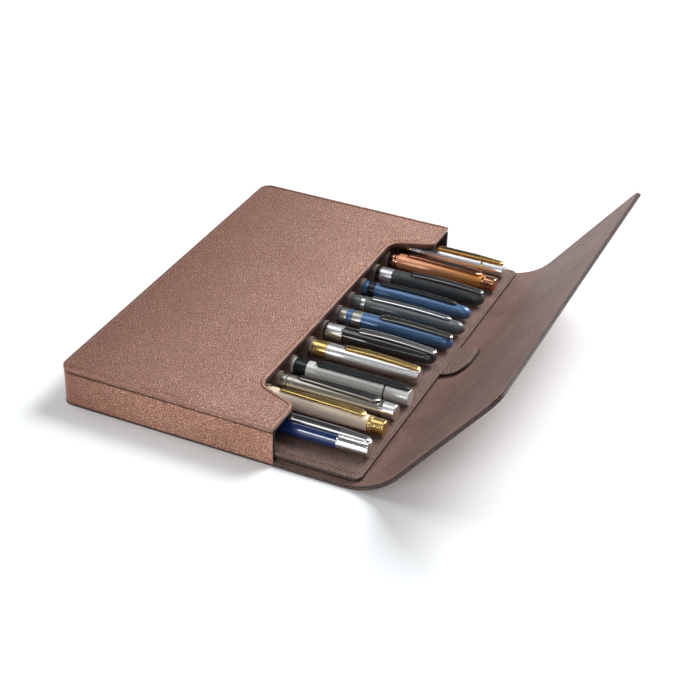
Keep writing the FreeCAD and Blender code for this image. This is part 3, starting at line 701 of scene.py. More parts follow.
def lofted(
    name: str, lane: float, rings: list[Ring], sides: int, square: float = 1.0
) -> bpy.types.Object:
    """Draw a cross-section out through its rings, along X.

    Args:
        name: The piece's name.
        lane: Where its axis lies along Y.
        rings: Its cross-sections in order.
        sides: 4 for a flat bar, and more for a round one.
        square: 1 for a round section, and less for one with flat sides and round corners.

    Returns:
        The closed piece.
    """
    first = rings[0]
    start = {"location": (first.x, lane, first.z), "rotation": (0, math.pi / 2, 0)}
    if sides == 4:
        bpy.ops.mesh.primitive_plane_add(size=2, **start)
    else:
        bpy.ops.mesh.primitive_circle_add(vertices=sides, radius=1, fill_type="NGON", **start)
    piece = settle(bpy.context.object, name)
    for vertex in piece.data.vertices:
        across, up = vertex.co.y - lane, vertex.co.z - first.z
        vertex.co.y = lane + math.copysign(abs(across) ** square, across)
        vertex.co.z = first.z + math.copysign(abs(up) ** square, up)
    with editing(piece):
        bpy.ops.transform.resize(
            value=(1, first.across, first.up), center_override=(first.x, lane, first.z)
        )
        for ring, after in zip(rings, rings[1:]):
            step = (after.x - ring.x, 0, after.z - ring.z)
            bpy.ops.mesh.extrude_region_move(TRANSFORM_OT_translate={"value": step})
            bpy.ops.transform.resize(
                value=(1, after.across / ring.across, after.up / ring.up),
                center_override=(after.x, lane, after.z),
            )
        bpy.ops.mesh.select_all(action="SELECT")
        bpy.ops.mesh.normals_make_consistent(inside=False)
    return piece


# Stitches


@dataclass(frozen=True)
class Seam:
    """A row of hand stitches, each a short fat thread that dips in at its ends."""

    pitch: float = 2.6 * MM
    length: float = 1.9 * MM
    width: float = 0.55 * MM

    # Where a stitch's tips start and how far they dip, as shares of its length and width
    TIP = 0.35
    DIP = 0.3

    def spots(self, path: list[Vector], normal: Vector, closed: bool = False) -> list[Spot]:
        """Space the stitches evenly along a path.

        Args:
            path: The corners of the path.
            normal: The way out of the surface.
            closed: Whether the path runs back to its start.

        Returns:
            Each stitch's place, run and normal.
        """
        line = path + path[:1] if closed else path
        legs = [(a, b - a) for a, b in zip(line, line[1:]) if (b - a).length > NEAR]
        whole = sum(run.length for _, run in legs)
        count = max(1, round(whole / self.pitch))
        found, done = [], 0.0
        for start, run in legs:
            while len(found) < count and (len(found) + 0.5) * whole / count <= done + run.length:
                share = (len(found) + 0.5) * whole / count - done
                found.append((start + run.normalized() * share, run.normalized(), normal))
            done += run.length
        return found

    def sew(self, name: str, spots: list[Spot]) -> bpy.types.Object:
        """Model one stitch and lay a copy of it at each spot."""
        bpy.ops.mesh.primitive_uv_sphere_add(segments=8, ring_count=6, rotation=(0, math.pi / 2, 0))
        first = settle(bpy.context.object, name)
        with editing(first):
            bpy.ops.transform.resize(value=(self.length / 2, self.width / 2, self.width / 2))
            pick(Part.POINT, lambda place, _: abs(place.x) > self.TIP * self.length)
            bpy.ops.transform.translate(value=(0, 0, -self.DIP * self.width))
        shape = first.data.copy()
        row = [first]
        for number, (place, run, normal) in enumerate(spots):
            side = normal.cross(run)
            turn = Matrix((run, side, normal)).transposed().to_4x4()
            if number:
                row.append(added(name, shape.copy()))
            row[-1].data.transform(Matrix.Translation(place) @ turn)
        return joined(name, row)


SEAM = Seam()
FINE_SEAM = Seam(2.6 * MM, 1.8 * MM, 0.5 * MM)


def ring_at(piece: bpy.types.Object, height: float) -> list[Vector]:
    """Return the closed row of points that lies at one height of a piece, in order."""
    points = piece.data.vertices
    inside = {p.index for p in points if abs(p.co.z - height) < NEAR}
    links: dict[int, list[int]] = {index: [] for index in inside}
    for edge in piece.data.edges:
        if inside.issuperset(edge.vertices):
            a, b = edge.vertices
            links[a].append(b)
            links[b].append(a)
    row = [min(inside)]
    while True:
        ahead = [index for index in links[row[-1]] if index not in row[-2:]]
        if not ahead or ahead[0] == row[0]:
            return [points[index].co.copy() for index in row]
        row.append(ahead[0])


# Sleeve


@dataclass
class Sleeve:
    """The hard sleeve: a top panel with a rolled rim, and a band round its back and ends."""

    rim_height: float = 3.1 * MM
    rim_roll: float = 1.0 * MM
    groove: float = 0.7 * MM
    border: float = 1.2 * MM
    seam_width: float = 0.6 * MM
    seam_depth: float = 0.5 * MM
    band_roll: float = 0.5 * MM
    stitch_inset: float = 3.5 * MM
    painted_margin: float = 25 * MM
    slope_match: float = 0.03

    # The width and the rise of each step of the padding inside the seam
    SWELL = ((0.7 * MM, 0.26 * MM), (0.8 * MM, 0.2 * MM), (0.8 * MM, 0.1 * MM))

    def make_top(self) -> bpy.types.Object:
        """Make the top panel, whose leather rises from its seam over thin padding."""
        top = copy_of("top_leather", "top_panel")
        low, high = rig.box("top_leather")
        under = high.z - self.rim_height
        with editing(top):
            pick(Part.POINT, lambda place, _: place.z < high.z - NEAR)
            bpy.ops.transform.translate(value=(0, 0, under - low.z))
            pick(Part.EDGE, level_edges(high.z, under))
            round_picked(self.rim_roll, 4)
            pick(Part.FACE, lambda middle, normal: normal.z > LEVEL)
            terrace([(self.border, 0), (self.seam_width, -self.seam_depth), *self.SWELL])
        seam = SEAM.spots(ring_at(top, high.z - self.seam_depth), UP, closed=True)
        dress(top, CASE_LEATHER, RIM_LEATHER, EDGE_PAINT, SEAM_SHADE)
        paint(top, 1, lambda c, n: abs(n.z) < FACING and c.z > high.z - self.rim_roll)
        # The walls of the seam's groove take the dark painted shade
        slope = math.cos(math.atan2(self.seam_depth, self.seam_width))
        paint(top, 3, lambda c, n: abs(n.z - slope) < self.slope_match)
        throat, side = (low.x + high.x) / 2, high.y - self.painted_margin
        paint(top, 2, lambda c, n: abs(n.z) < UPRIGHT and c.x > throat and abs(c.y) < side)
        thread = dress(SEAM.sew("top_stitches", seam), THREAD)
        for piece in (top, thread):
            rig.ride(piece, "case")
            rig.slot(piece, "case_leather")
        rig.replaces(top, "top_leather", "top_board")
        return top

    def make_band(self) -> bpy.types.Object:
        """Make the band, which stops a groove below the top panel's rim."""
        band = copy_of("side_band", "side_wall")
        low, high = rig.box("side_band")
        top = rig.box("top_leather")[1].z - self.rim_height - self.groove
        with editing(band):
            pick(Part.POINT, lambda place, _: place.z > high.z - NEAR)
            bpy.ops.transform.translate(value=(0, 0, top - high.z))
            pick(Part.EDGE, level_edges(low.z, top))
            round_picked(self.band_roll)
        rows = []
        for side, face in ((-1, low.y), (1, high.y)):
            line = [Vector((high.x - self.stitch_inset, face, z)) for z in (low.z + MM, top - MM)]
            rows += SEAM.spots(line, Vector((0, side, 0)))
        thread = dress(SEAM.sew("band_stitches", rows), THREAD)
        # The band takes the lit copy of the case leather: painted light
        dress(band, LIT_BAND_LEATHER, DARK_EDGE)
        paint(band, 1, lambda c, n: n.x > FACING and c.x > high.x - MM)
        for piece in (band, thread):
            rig.ride(piece, "case")
            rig.slot(piece, "case_leather")
        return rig.replaces(band, "side_band")

    def build(self) -> None:
        """Build the sleeve's new pieces and dress its hidden ones."""
        self.make_top()
        self.make_band()
        for node in ("base_board", "side_board"):
            dress(frame["nodes"][node], CARD_BOARD)
        for node in ("base_lining", "side_lining", "top_lining"):
            dress(frame["nodes"][node], INNER_LINING)
        for node in ("sleeve_magnets", "flap_magnets"):
            dress(frame["nodes"][node], MAGNET)
        log.info("sleeve: top_panel, side_wall and their stitches ride on case")


# Bent leather


@dataclass(frozen=True)
class Bend:
    """The section that a flat piece is laid on: a straight run, an arc and a straight end."""

    x: float
    z: float
    start_turn: float
    flat: float
    radius: float
    turn: float

    def at(self, along: float, height: float) -> tuple[float, float]:
        """Find where a place of the flat piece ends up.

        Args:
            along: How far along the section.
            height: How far above it.

        Returns:
            X and Z.
        """
        swept = min(max((along - self.flat) / self.radius, 0), self.turn)
        straight = along - swept * self.radius
        angle = self.start_turn + swept
        first = min(straight, self.flat)
        x = self.x + first * math.cos(self.start_turn)
        z = self.z + first * math.sin(self.start_turn)
        x += self.radius * (math.sin(angle) - math.sin(self.start_turn))
        z -= self.radius * (math.cos(angle) - math.cos(self.start_turn))
        x += (straight - first) * math.cos(angle) - height * math.sin(angle)
        z += (straight - first) * math.sin(angle) + height * math.cos(angle)
        return x, z

    def point(self, along: float) -> Vector:
        """Return the place on the section, in the middle of the case."""
        x, z = self.at(along, 0)
        return Vector((x, 0, z))

    def lay(self, piece: bpy.types.Object) -> bpy.types.Object:
        """Lay a flat piece on the section. Its X runs along it and its Z stands on it."""
        for vertex in piece.data.vertices:
            x, z = self.at(vertex.co.x, vertex.co.z)
            vertex.co = (x, vertex.co.y, z)
        piece.data.update()
        return piece


@dataclass(frozen=True)
class Cut:
    """The plan of a flat piece of leather."""

    start: float
    end: float
    half: float
    height: float
    thickness: float
    start_radius: float = 0.0
    end_radius: float = 0.0
    split: float | None = None

    EDGE_ROUND = 0.3

    def make(self, name: str, folds: list[float], middle: float = 0.0) -> bpy.types.Object:
        """Cut the piece, give it its thickness and round its edges.

        Args:
            name: The piece's name.
            folds: Where it gets a line of points across, so that it can bend there.
            middle: Where its middle lies along Y.

        Returns:
            The flat piece.
        """
        low = Vector((self.start, middle - self.half, self.height))
        high = Vector((self.end, middle + self.half, self.height + self.thickness))
        piece = slab(name, low, high)
        with editing(piece):
            round_corners({self.start: self.start_radius, self.end: self.end_radius}, 10)
            level = level_edges(low.z, high.z)
            whole = self.split is None
            pick(
                Part.EDGE,
                lambda m, run: level(m, run) and (whole or abs(m.x - self.split) > NEAR),
            )
            round_picked(self.EDGE_ROUND * self.thickness)
            for fold in folds:
                bpy.ops.mesh.select_all(action="SELECT")
                bpy.ops.mesh.bisect(plane_co=(fold, 0, 0), plane_no=(1, 0, 0))
        return piece


def steps_between(start: float, end: float, step: float) -> list[float]:
    """Return evenly spaced places strictly between two, about a step apart."""
    count = max(1, round((end - start) / step))
    return [start + (end - start) * number / count for number in range(1, count)]


def sewn(sheet: bpy.types.Object, spots: list[Spot], finish: Finish) -> bpy.types.Object:
    """Finish a flat piece of leather, paint its edge and sew its stitches to it.

    Args:
        sheet: The flat piece.
        spots: Where its stitches lie.
        finish: Its leather.

    Returns:
        The piece with its stitches.
    """
    name = sheet.name
    row = FINE_SEAM.sew(f"{name}_row", spots)
    for piece in (sheet, row):
        dress(piece, finish, DARK_EDGE, LINING_THREAD)
    paint(sheet, 1, lambda middle, normal: abs(normal.z) < EDGE_SLOPE)
    paint(row, 2, lambda middle, normal: True)
    return joined(name, [sheet, row])


def hem(
    start: float, end: float, side: float, radius: float, height: float, middle: float = 0.0
) -> list[Vector]:
    """Return the path of a seam along both sides of a piece and round its far corners.

    Args:
        start: Where the path starts and ends along X.
        end: How far out it reaches.
        side: How far it lies from the middle line.
        radius: The radius of its corners.
        height: How high it lies.
        middle: Where the middle line lies along Y.

    Returns:
        The corners of the path.
    """
    path = [Vector((start, middle - side, height))]
    for centre, first in ((-side + radius, -90), (side - radius, 0)):
        for turn in range(first, first + 91, 15):
            angle = math.radians(turn)
            reach = end - radius + radius * math.cos(angle)
            path.append(Vector((reach, middle + centre + radius * math.sin(angle), height)))
    path.append(Vector((start, middle + side, height)))
    return path


# Closure flap


@dataclass
class Flap:
    """The closure flap, which runs on from the underside, bends up and ends in a cover."""

    bed_flat: float = 43.0 * MM
    leather: float = 1.3 * MM
    bend_radius: float = 46.6 * MM
    front_fold: float = math.radians(16.9)
    cover_fold: float = math.radians(51.5)
    cover: float = 90.1 * MM
    corner: float = 9.0 * MM
    back_corner: float = 8.0 * MM
    lining_inset: float = 0.35 * MM
    stitch_inset: float = 3.6 * MM
    front_reach: float = 6.0 * MM
    cover_reach: float = 8.0 * MM
    fold_step: float = 1.4 * MM

    def __post_init__(self) -> None:
        """Work out the section between leather and lining, and where it folds."""
        low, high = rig.box("side_band")
        self.depth = high.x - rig.box("base_leather")[0].x
        self.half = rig.box("base_leather")[1].y
        radius = self.bend_radius - self.leather
        self.bend = Bend(high.x, self.leather, 0.0, self.bed_flat, radius, self.cover_fold)
        self.first = self.bed_flat + radius * self.front_fold
        self.second = self.bed_flat + radius * self.cover_fold
        self.split = (self.first + self.second) / 2
        self.end = self.second + self.cover

    def folds(self, start: float, end: float) -> list[float]:
        """Return the lines across a stretch of the flap where it has to bend."""
        last = self.second + self.cover_reach + MM
        bent = steps_between(self.bed_flat - MM, last, self.fold_step)
        return [line for line in bent if start + NEAR < line < end - NEAR]

    def hinge(self, place: float, reach: float) -> dict[str, Vector]:
        """Return the start and end of the stretch that turns about a fold."""
        middle = self.bend.point(place)
        run = (self.bend.point(place + NEAR) - self.bend.point(place - NEAR)).normalized()
        return {"start": middle - run * reach, "end": middle + run * reach}

    def seam(self, start: float, end: float, height: float) -> list[Spot]:
        """Lay out the stitches round the edge of a stretch of the flap."""
        normal = UP if height > 0 else -UP
        side = self.half - self.stitch_inset
        if end < self.end - NEAR:
            sides = [[Vector((s, y, height)) for s in (start, end)] for y in (-side, side)]
            return [spot for line in sides for spot in FINE_SEAM.spots(line, normal)]
        radius = self.corner - self.stitch_inset
        path = hem(start, end - self.stitch_inset, side, radius, height)
        return FINE_SEAM.spots(path, normal)

    def make_layer(
        self, name: str, cut: Cut, first_stitch: float, finish: Finish
    ) -> bpy.types.Object:
        """Make one stretch of leather or lining with its stitches, laid on the bend."""
        sheet = cut.make(name, self.folds(cut.start, cut.end))
        outer = cut.height + cut.thickness if cut.height >= 0 else cut.height
        return self.bend.lay(sewn(sheet, self.seam(first_stitch, cut.end, outer), finish))

    def build(self) -> None:
        """Make leather and lining, each in two stretches that meet between the folds."""
        tip, split, thick = self.end, self.split, self.leather
        both = {"thickness": thick, "split": split}
        outer = {"half": self.half, "height": -thick, **both}
        inner = {"half": self.half - self.lining_inset, "height": 0.0, **both}
        cuts = {
            "underside": Cut(-self.depth, split, start_radius=self.back_corner, **outer),
            "cover": Cut(split, tip, end_radius=self.corner, **outer),
            "bed_inside": Cut(0.0, split, **inner),
            "cover_inside": Cut(split, tip - self.lining_inset, end_radius=self.corner, **inner),
        }
        stands_for = {
            "underside": ("base_leather", "flap_front_leather"),
            "cover": ("flap_cover_leather",),
            "bed_inside": ("flap_bed_lining", "flap_front_lining"),
            "cover_inside": ("flap_cover_lining",),
        }
        for name, cut in cuts.items():
            inside = name.endswith("inside")
            finish = LINING_LEATHER if inside else CASE_LEATHER
            clear = 2 * MM if inside else self.bed_flat + self.cover_reach
            piece = self.make_layer(name, cut, max(cut.start, clear), finish)
            if name.startswith("cover"):
                hinge = self.hinge(self.second, self.cover_reach)
                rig.blend(piece, "flap_front", "flap_cover", **hinge)
            else:
                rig.blend(piece, "case", "flap_front", **self.hinge(self.first, self.front_reach))
            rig.slot(piece, "lining_leather" if inside else "case_leather")
            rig.replaces(piece, *stands_for[name])
            log.info("flap: %s bends across its fold", name)


# Tray


@dataclass
class Tray:
    """The sliding tray: a padded top sewn to a base, over its board and foam."""

    front_corner: float = 4.0 * MM
    back_corner: float = 4.6 * MM
    rim_roll: float = 0.35 * MM
    base_roll: float = 0.3 * MM
    border: float = 1.7 * MM
    seam_width: float = 0.5 * MM
    seam_depth: float = 0.25 * MM
    wrinkle: float = 0.35 * MM
    wrinkle_size: float = 14 * MM
    wrinkle_pitch: float = 4 * MM
    flat_margin: float = 8 * MM
    rim: float = 1.1 * MM
    slope_step: float = 0.8 * MM
    rim_slope: float = 0.5
    base_slope: float = 0.7
    # Which faces of the seam take the dark painted shade: nearly level, and deeper than a share of the seam
    groove_slope: float = 0.8
    groove_share: float = 0.2

    # The share of the pad's height that each step of its slope rises
    SLOPE = (0.34, 0.28, 0.2, 0.12, 0.06)

    def round_plan(self, front: float, back: float) -> None:
        """Round the upright edges of the tray's plan."""
        round_corners({front: self.front_corner, back: self.back_corner}, 8)

    def make_top(self) -> None:
        """Make the padded top, whose border is sewn flat all round."""
        low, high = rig.box("tray_top_leather")
        rim = low.z + self.rim
        top = slab("tray_top", low, Vector((high.x, high.y, rim)))
        rise = high.z - rim + self.seam_depth
        with editing(top):
            self.round_plan(high.x, low.x)
            pick(Part.EDGE, level_edges(rim))
            round_picked(self.rim_roll)
            pick(Part.FACE, lambda middle, normal: normal.z > LEVEL)
            edge = Vector((self.rim_roll, self.rim_roll, 0))
            steps = [(self.border, 0), (self.seam_width, -self.seam_depth)]
            steps += [(self.slope_step, share * rise) for share in self.SLOPE]
            step_in(low + edge, high - edge, steps)
        self.wrinkle_top(top, low, high)
        seam = SEAM.spots(ring_at(top, rim - self.seam_depth), UP, closed=True)
        dress(top, TRAY_LEATHER, DARK_EDGE, SEAM_SHADE)
        paint(top, 1, lambda middle, normal: abs(normal.z) < self.rim_slope and middle.z < rim)
        # The floor of the seam's groove takes the dark painted shade
        groove = rim - self.groove_share * self.seam_depth
        paint(top, 2, lambda middle, normal: normal.z > self.groove_slope and middle.z < groove)
        thread = dress(SEAM.sew("tray_stitches", seam), LINING_THREAD)
        for piece in (top, thread):
            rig.ride(piece, "tray")
            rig.slot(piece, "lining_leather")
        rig.replaces(top, "tray_top_leather")
        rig.padded(top, fill=0.6)

    def wrinkle_top(self, top: bpy.types.Object, low: Vector, high: Vector) -> None:
        """Cut the pad's face into small faces and press soft uneven hollows into it."""
        inset = Vector((self.flat_margin, self.flat_margin, 0))
        with editing(top):
            for axis in (0, 1):
                way = Vector((1 - axis, axis, 0))
                for place in steps_between(low[axis], high[axis], self.wrinkle_pitch):
                    pick(Part.FACE, lambda middle, normal: middle.z > high.z - NEAR)
                    bpy.ops.mesh.bisect(plane_co=way * place, plane_no=way)
        group = top.vertex_groups.new(name="pad")
        inner = [
            v.index for v in top.data.vertices
            if v.co.z > high.z - NEAR and all(
                low[a] + inset[a] < v.co[a] < high[a] - inset[a] for a in (0, 1)
            )
        ]
        group.add(inner, 1.0, "REPLACE")
        clouds = bpy.data.textures.new("hollows", "CLOUDS")
        clouds.noise_scale = self.wrinkle_size
        hollows = {"texture": clouds, "vertex_group": "pad", "direction": "Z"}
        apply_modifier(top, "DISPLACE", strength=self.wrinkle, mid_level=1.0, **hollows)

    def make_base(self) -> None:
        """Make the base leather with its painted edge."""
        low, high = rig.box("tray_base_leather")
        base = slab("tray_base", low, high)
        with editing(base):
            self.round_plan(high.x, low.x)
            pick(Part.EDGE, level_edges(low.z, high.z))
            round_picked(self.base_roll)
        dress(base, TRAY_LEATHER, DARK_EDGE)
        paint(base, 1, lambda middle, normal: abs(normal.z) < self.base_slope)
        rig.ride(base, "tray")
        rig.slot(base, "lining_leather")
        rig.replaces(base, "tray_base_leather")

    def build(self) -> None:
        """Build the tray's pieces."""
        self.make_top()
        self.make_base()
        dress(frame["nodes"]["tray_board"], CARD_BOARD)
        dress(frame["nodes"]["tray_foam"], PADDING)
        log.info("tray: tray_top, tray_base and stitches ride on tray")


@dataclass
class PullTab:
    """The stitched tab under the tray's front edge, which lies on the flap's bend."""

    centre_x: float = 116.5 * MM
    centre_z: float = 46.6 * MM
    radius: float = 43.1 * MM
    thickness: float = 1.5 * MM
    root: float = math.radians(19.0)
    tip: float = math.radians(42.0)
    half: float = 17.5 * MM
    middle: float = 6.0 * MM
    tuck: float = 2.6 * MM
    corner: float = 13.0 * MM
    stitch_inset: float = 2.4 * MM
    reach: float = 3.5 * MM
    fold_step: float = 1.0 * MM

    def build(self) -> None:
        """Cut the tab, sew round its free edge and lay it on its arc."""
        x = self.centre_x + self.radius * math.sin(self.root)
        z = self.centre_z - self.radius * math.cos(self.root)
        length = self.radius * (self.tip - self.root)
        bend = Bend(x, z, self.root, 0.0, self.radius, self.tip - self.root)
        cut = Cut(-self.tuck, length, self.half, 0.0, self.thickness, 0.0, self.corner)
        folds = steps_between(-self.tuck, length, self.fold_step)
        tab = cut.make("tab_leather", folds, self.middle)
        side, radius = self.half - self.stitch_inset, self.corner - self.stitch_inset
        end = length - self.stitch_inset
        path = hem(0.0, end, side, radius, self.thickness, self.middle)
        piece = bend.lay(sewn(tab, FINE_SEAM.spots(path, UP), TRAY_LEATHER))
        start = bend.point(-self.tuck)
        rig.blend(piece, "tray", "pull_tab", start=start, end=bend.point(self.reach))
        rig.slot(piece, "lining_leather")
        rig.replaces(piece, "pull_tab")
        log.info("tab: tab_leather bends between tray and pull_tab")


# Pens


class ClipStyle(Enum):
    """How a clip is shaped, seen from above and from the side."""

    PLATE = "plate"
    LEAF = "leaf"
    ARCH = "arch"
    ROD = "rod"


class EndStyle(Enum):
    """How a cap ends."""

    FLAT = "flat"
    ROUND = "round"
    DOME = "dome"


# How far from the cap's end each style starts to close
END_REACH = {EndStyle.FLAT: 0.4 * MM, EndStyle.ROUND: 1.2 * MM, EndStyle.DOME: 5.5 * MM}


@dataclass(frozen=True)
class ClipForm:
    """The proportions of one clip style, as shares of its size, and heights over the cap."""

    toe_width: float
    heel_width: float
    toe_round: float
    heel_round: float
    low: float
    high: float
    square: float
    taper_from: float = 0.0
    swell: float = 0.0
    slot: tuple[float, float] = (0.06, 0.66)

    LEAST_ENDING = 0.03
    LIFT_CURVE = 0.8

    def width(self, share: float) -> float:
        """Return the width at a share of the length."""
        taper = max(0.0, share - self.taper_from) / (1 - self.taper_from)
        straight = self.toe_width + (self.heel_width - self.toe_width) * taper
        return straight + self.swell * math.sin(math.pi * share)

    def ending(self, share: float) -> float:
        """Return how much of the section is left at a share of the length, near an end."""
        for distance, size in ((share, self.toe_round), (1 - share, self.heel_round)):
            if distance < size:
                return math.sqrt(max(self.LEAST_ENDING, 1 - (1 - distance / size) ** 2))
        return 1.0

    def lift(self, share: float) -> float:
        """Return the height over the cap at a share of the length."""
        arch = math.sin(math.pi * share) ** self.LIFT_CURVE
        return self.low + (self.high - self.low) * arch


CLIP_FORMS = {
    ClipStyle.PLATE: ClipForm(1.35, 0.945, 0.01, 0.015, 0.9 * MM, 1.35 * MM, 0.3, 0.6),
    ClipStyle.LEAF: ClipForm(
        0.7975, 1.74, 0.04, 0.06, 0.8 * MM, 1.4 * MM, 0.45, swell=0.29, slot=(0.48, 0.8)
    ),
    ClipStyle.ARCH: ClipForm(1.65, 1.4025, 0.06, 0.02, 0.5 * MM, 1.3 * MM, 0.45),
    ClipStyle.ROD: ClipForm(1.35, 1.35, 0.04, 0.04, 0.8 * MM, 1.2 * MM, 0.6),
}


@dataclass(frozen=True)
class Band:
    """A metal band round a cap, from one place to another, measured from the cap's lip."""

    start: float
    end: float
    finish: Finish
    proud: float = 0.0
    ribbed: bool = False


@dataclass(frozen=True)
class Pen:
    """One pen's own sizes in millimetres from its cap's lip, its styles and finishes."""

    lip: float
    belly: float
    crown: float
    finial: float
    toe: float
    heel: float
    clip_width: float
    clip: ClipStyle
    end: EndStyle
    body: Finish
    metal: Finish
    tip: Finish
    bands: tuple[Band, ...]
    slotted: bool = False
    ribbed: bool = False
    barrel: Finish = BLACK_GLOSS


PENS = (
    Pen(5.7, 5.7, 5.2, 19.8, 23.8, 78.4, 4.4, ClipStyle.PLATE, EndStyle.ROUND, NAVY, CHROME, CHROME,
        (Band(0, 0.8, CHROME), Band(57.9, 58.9, CHROME, 0.3)), slotted=True, barrel=NAVY),
    Pen(5.6, 5.6, 4.6, 8.8, 7.2, 64.7, 3.4, ClipStyle.LEAF, EndStyle.ROUND, IVORY, GOLD, GOLD,
        (Band(0, 0.8, GOLD), Band(67.0, 69.0, GOLD, 0.3)), ribbed=True, barrel=IVORY),
    Pen(4.8, 5.3, 4.8, 8.4, 11.1, 66.9, 4.2, ClipStyle.LEAF, EndStyle.ROUND, GUNMETAL, GREY_TRIM,
        SILVER, (Band(0, 4.4, GUNMETAL, 0.1, True), Band(5.0, 9.6, GUNMETAL, 0.15),
                 Band(67.2, 69.4, GREY_TRIM, 0.3)), slotted=True, barrel=GUNMETAL),
    Pen(5.6, 5.6, 5.2, 3.0, 13.9, 77.6, 4.2, ClipStyle.PLATE, EndStyle.FLAT, GREY_MATTE, BLACK_TRIM,
        GREY_MATTE, (Band(0, 8.6, BLACK_TRIM, 0.0, True), Band(61.0, 62.0, BLACK_TRIM, 0.2)),
        slotted=True, barrel=GREY_MATTE),
    Pen(5.5, 5.5, 4.1, 3.0, 20.9, 73.0, 3.0, ClipStyle.ARCH, EndStyle.ROUND, SILVER, GOLD, SILVER,
        (Band(0, 10.2, GOLD, 0.05), Band(67.0, 68.2, SILVER, 0.1)), ribbed=True, barrel=SILVER),
    Pen(5.3, 5.6, 4.2, 6.0, 21.4, 75.8, 3.6, ClipStyle.ARCH, EndStyle.DOME, BLACK_GLOSS, CHROME,
        BLACK_GLOSS, (Band(0, 10.6, SILVER, 0.05), Band(10.8, 11.7, CHROME, 0.2),
                      Band(70.0, 71.2, BLACK_GLOSS, 0.1)), ribbed=True),
    Pen(5.3, 5.7, 4.5, 6.0, 27.9, 79.0, 3.4, ClipStyle.ARCH, EndStyle.DOME, BLUE, GREY_TRIM, BLUE,
        (Band(0, 5.4, GUNMETAL, 0.05), Band(5.6, 9.2, BLUE), Band(9.4, 16.0, GUNMETAL, 0.05),
         Band(73.0, 74.2, BLUE, 0.1)), ribbed=True, barrel=BLUE),
    Pen(4.9, 5.4, 4.3, 6.0, 9.8, 67.5, 3.0, ClipStyle.ROD, EndStyle.DOME, GRAPHITE, CHROME,
        GRAPHITE, (Band(0, 4.2, GRAPHITE), Band(4.3, 7.0, CHROME, 0.2)), barrel=GRAPHITE),
    Pen(5.2, 5.7, 4.2, 6.0, 7.5, 63.4, 3.0, ClipStyle.ROD, EndStyle.DOME, BLUE, BLACK_TRIM, BLUE,
        (Band(0, 5.3, BLACK_TRIM, 0.1),), barrel=BLUE),
    Pen(5.2, 5.6, 4.6, 6.0, 21.7, 74.5, 3.2, ClipStyle.ARCH, EndStyle.DOME, BLACK_TEXTURE,
        GREY_TRIM, BLACK_TEXTURE, (Band(0, 8.7, SILVER, 0.1), Band(68.0, 69.0, BLACK_TEXTURE, 0.1)),
        ribbed=True),
    Pen(5.3, 5.6, 4.6, 7.8, 9.5, 65.0, 3.8, ClipStyle.LEAF, EndStyle.ROUND,
        Coat("copper_satin", shade(228, 164, 126), 0.5, 0.36, shade(214, 146, 58),
             (75 * MM, 118 * MM), 0.06), ROSE, ROSE,
        (Band(0, 1.6, ROSE, 0.15), Band(2.2, 3.8, ROSE, 0.15), Band(66.0, 67.4, ROSE, 0.2)),
        slotted=True, barrel=BLACK_GLOSS),
    Pen(5.0, 5.3, 4.8, 3.0, 24.5, 75.0, 3.6, ClipStyle.PLATE, EndStyle.FLAT, SILVER, GOLD, SILVER,
        (Band(0, 6.8, GOLD, 0.1), Band(59.1, 60.3, GOLD, 0.3)), slotted=True, barrel=SILVER),
)


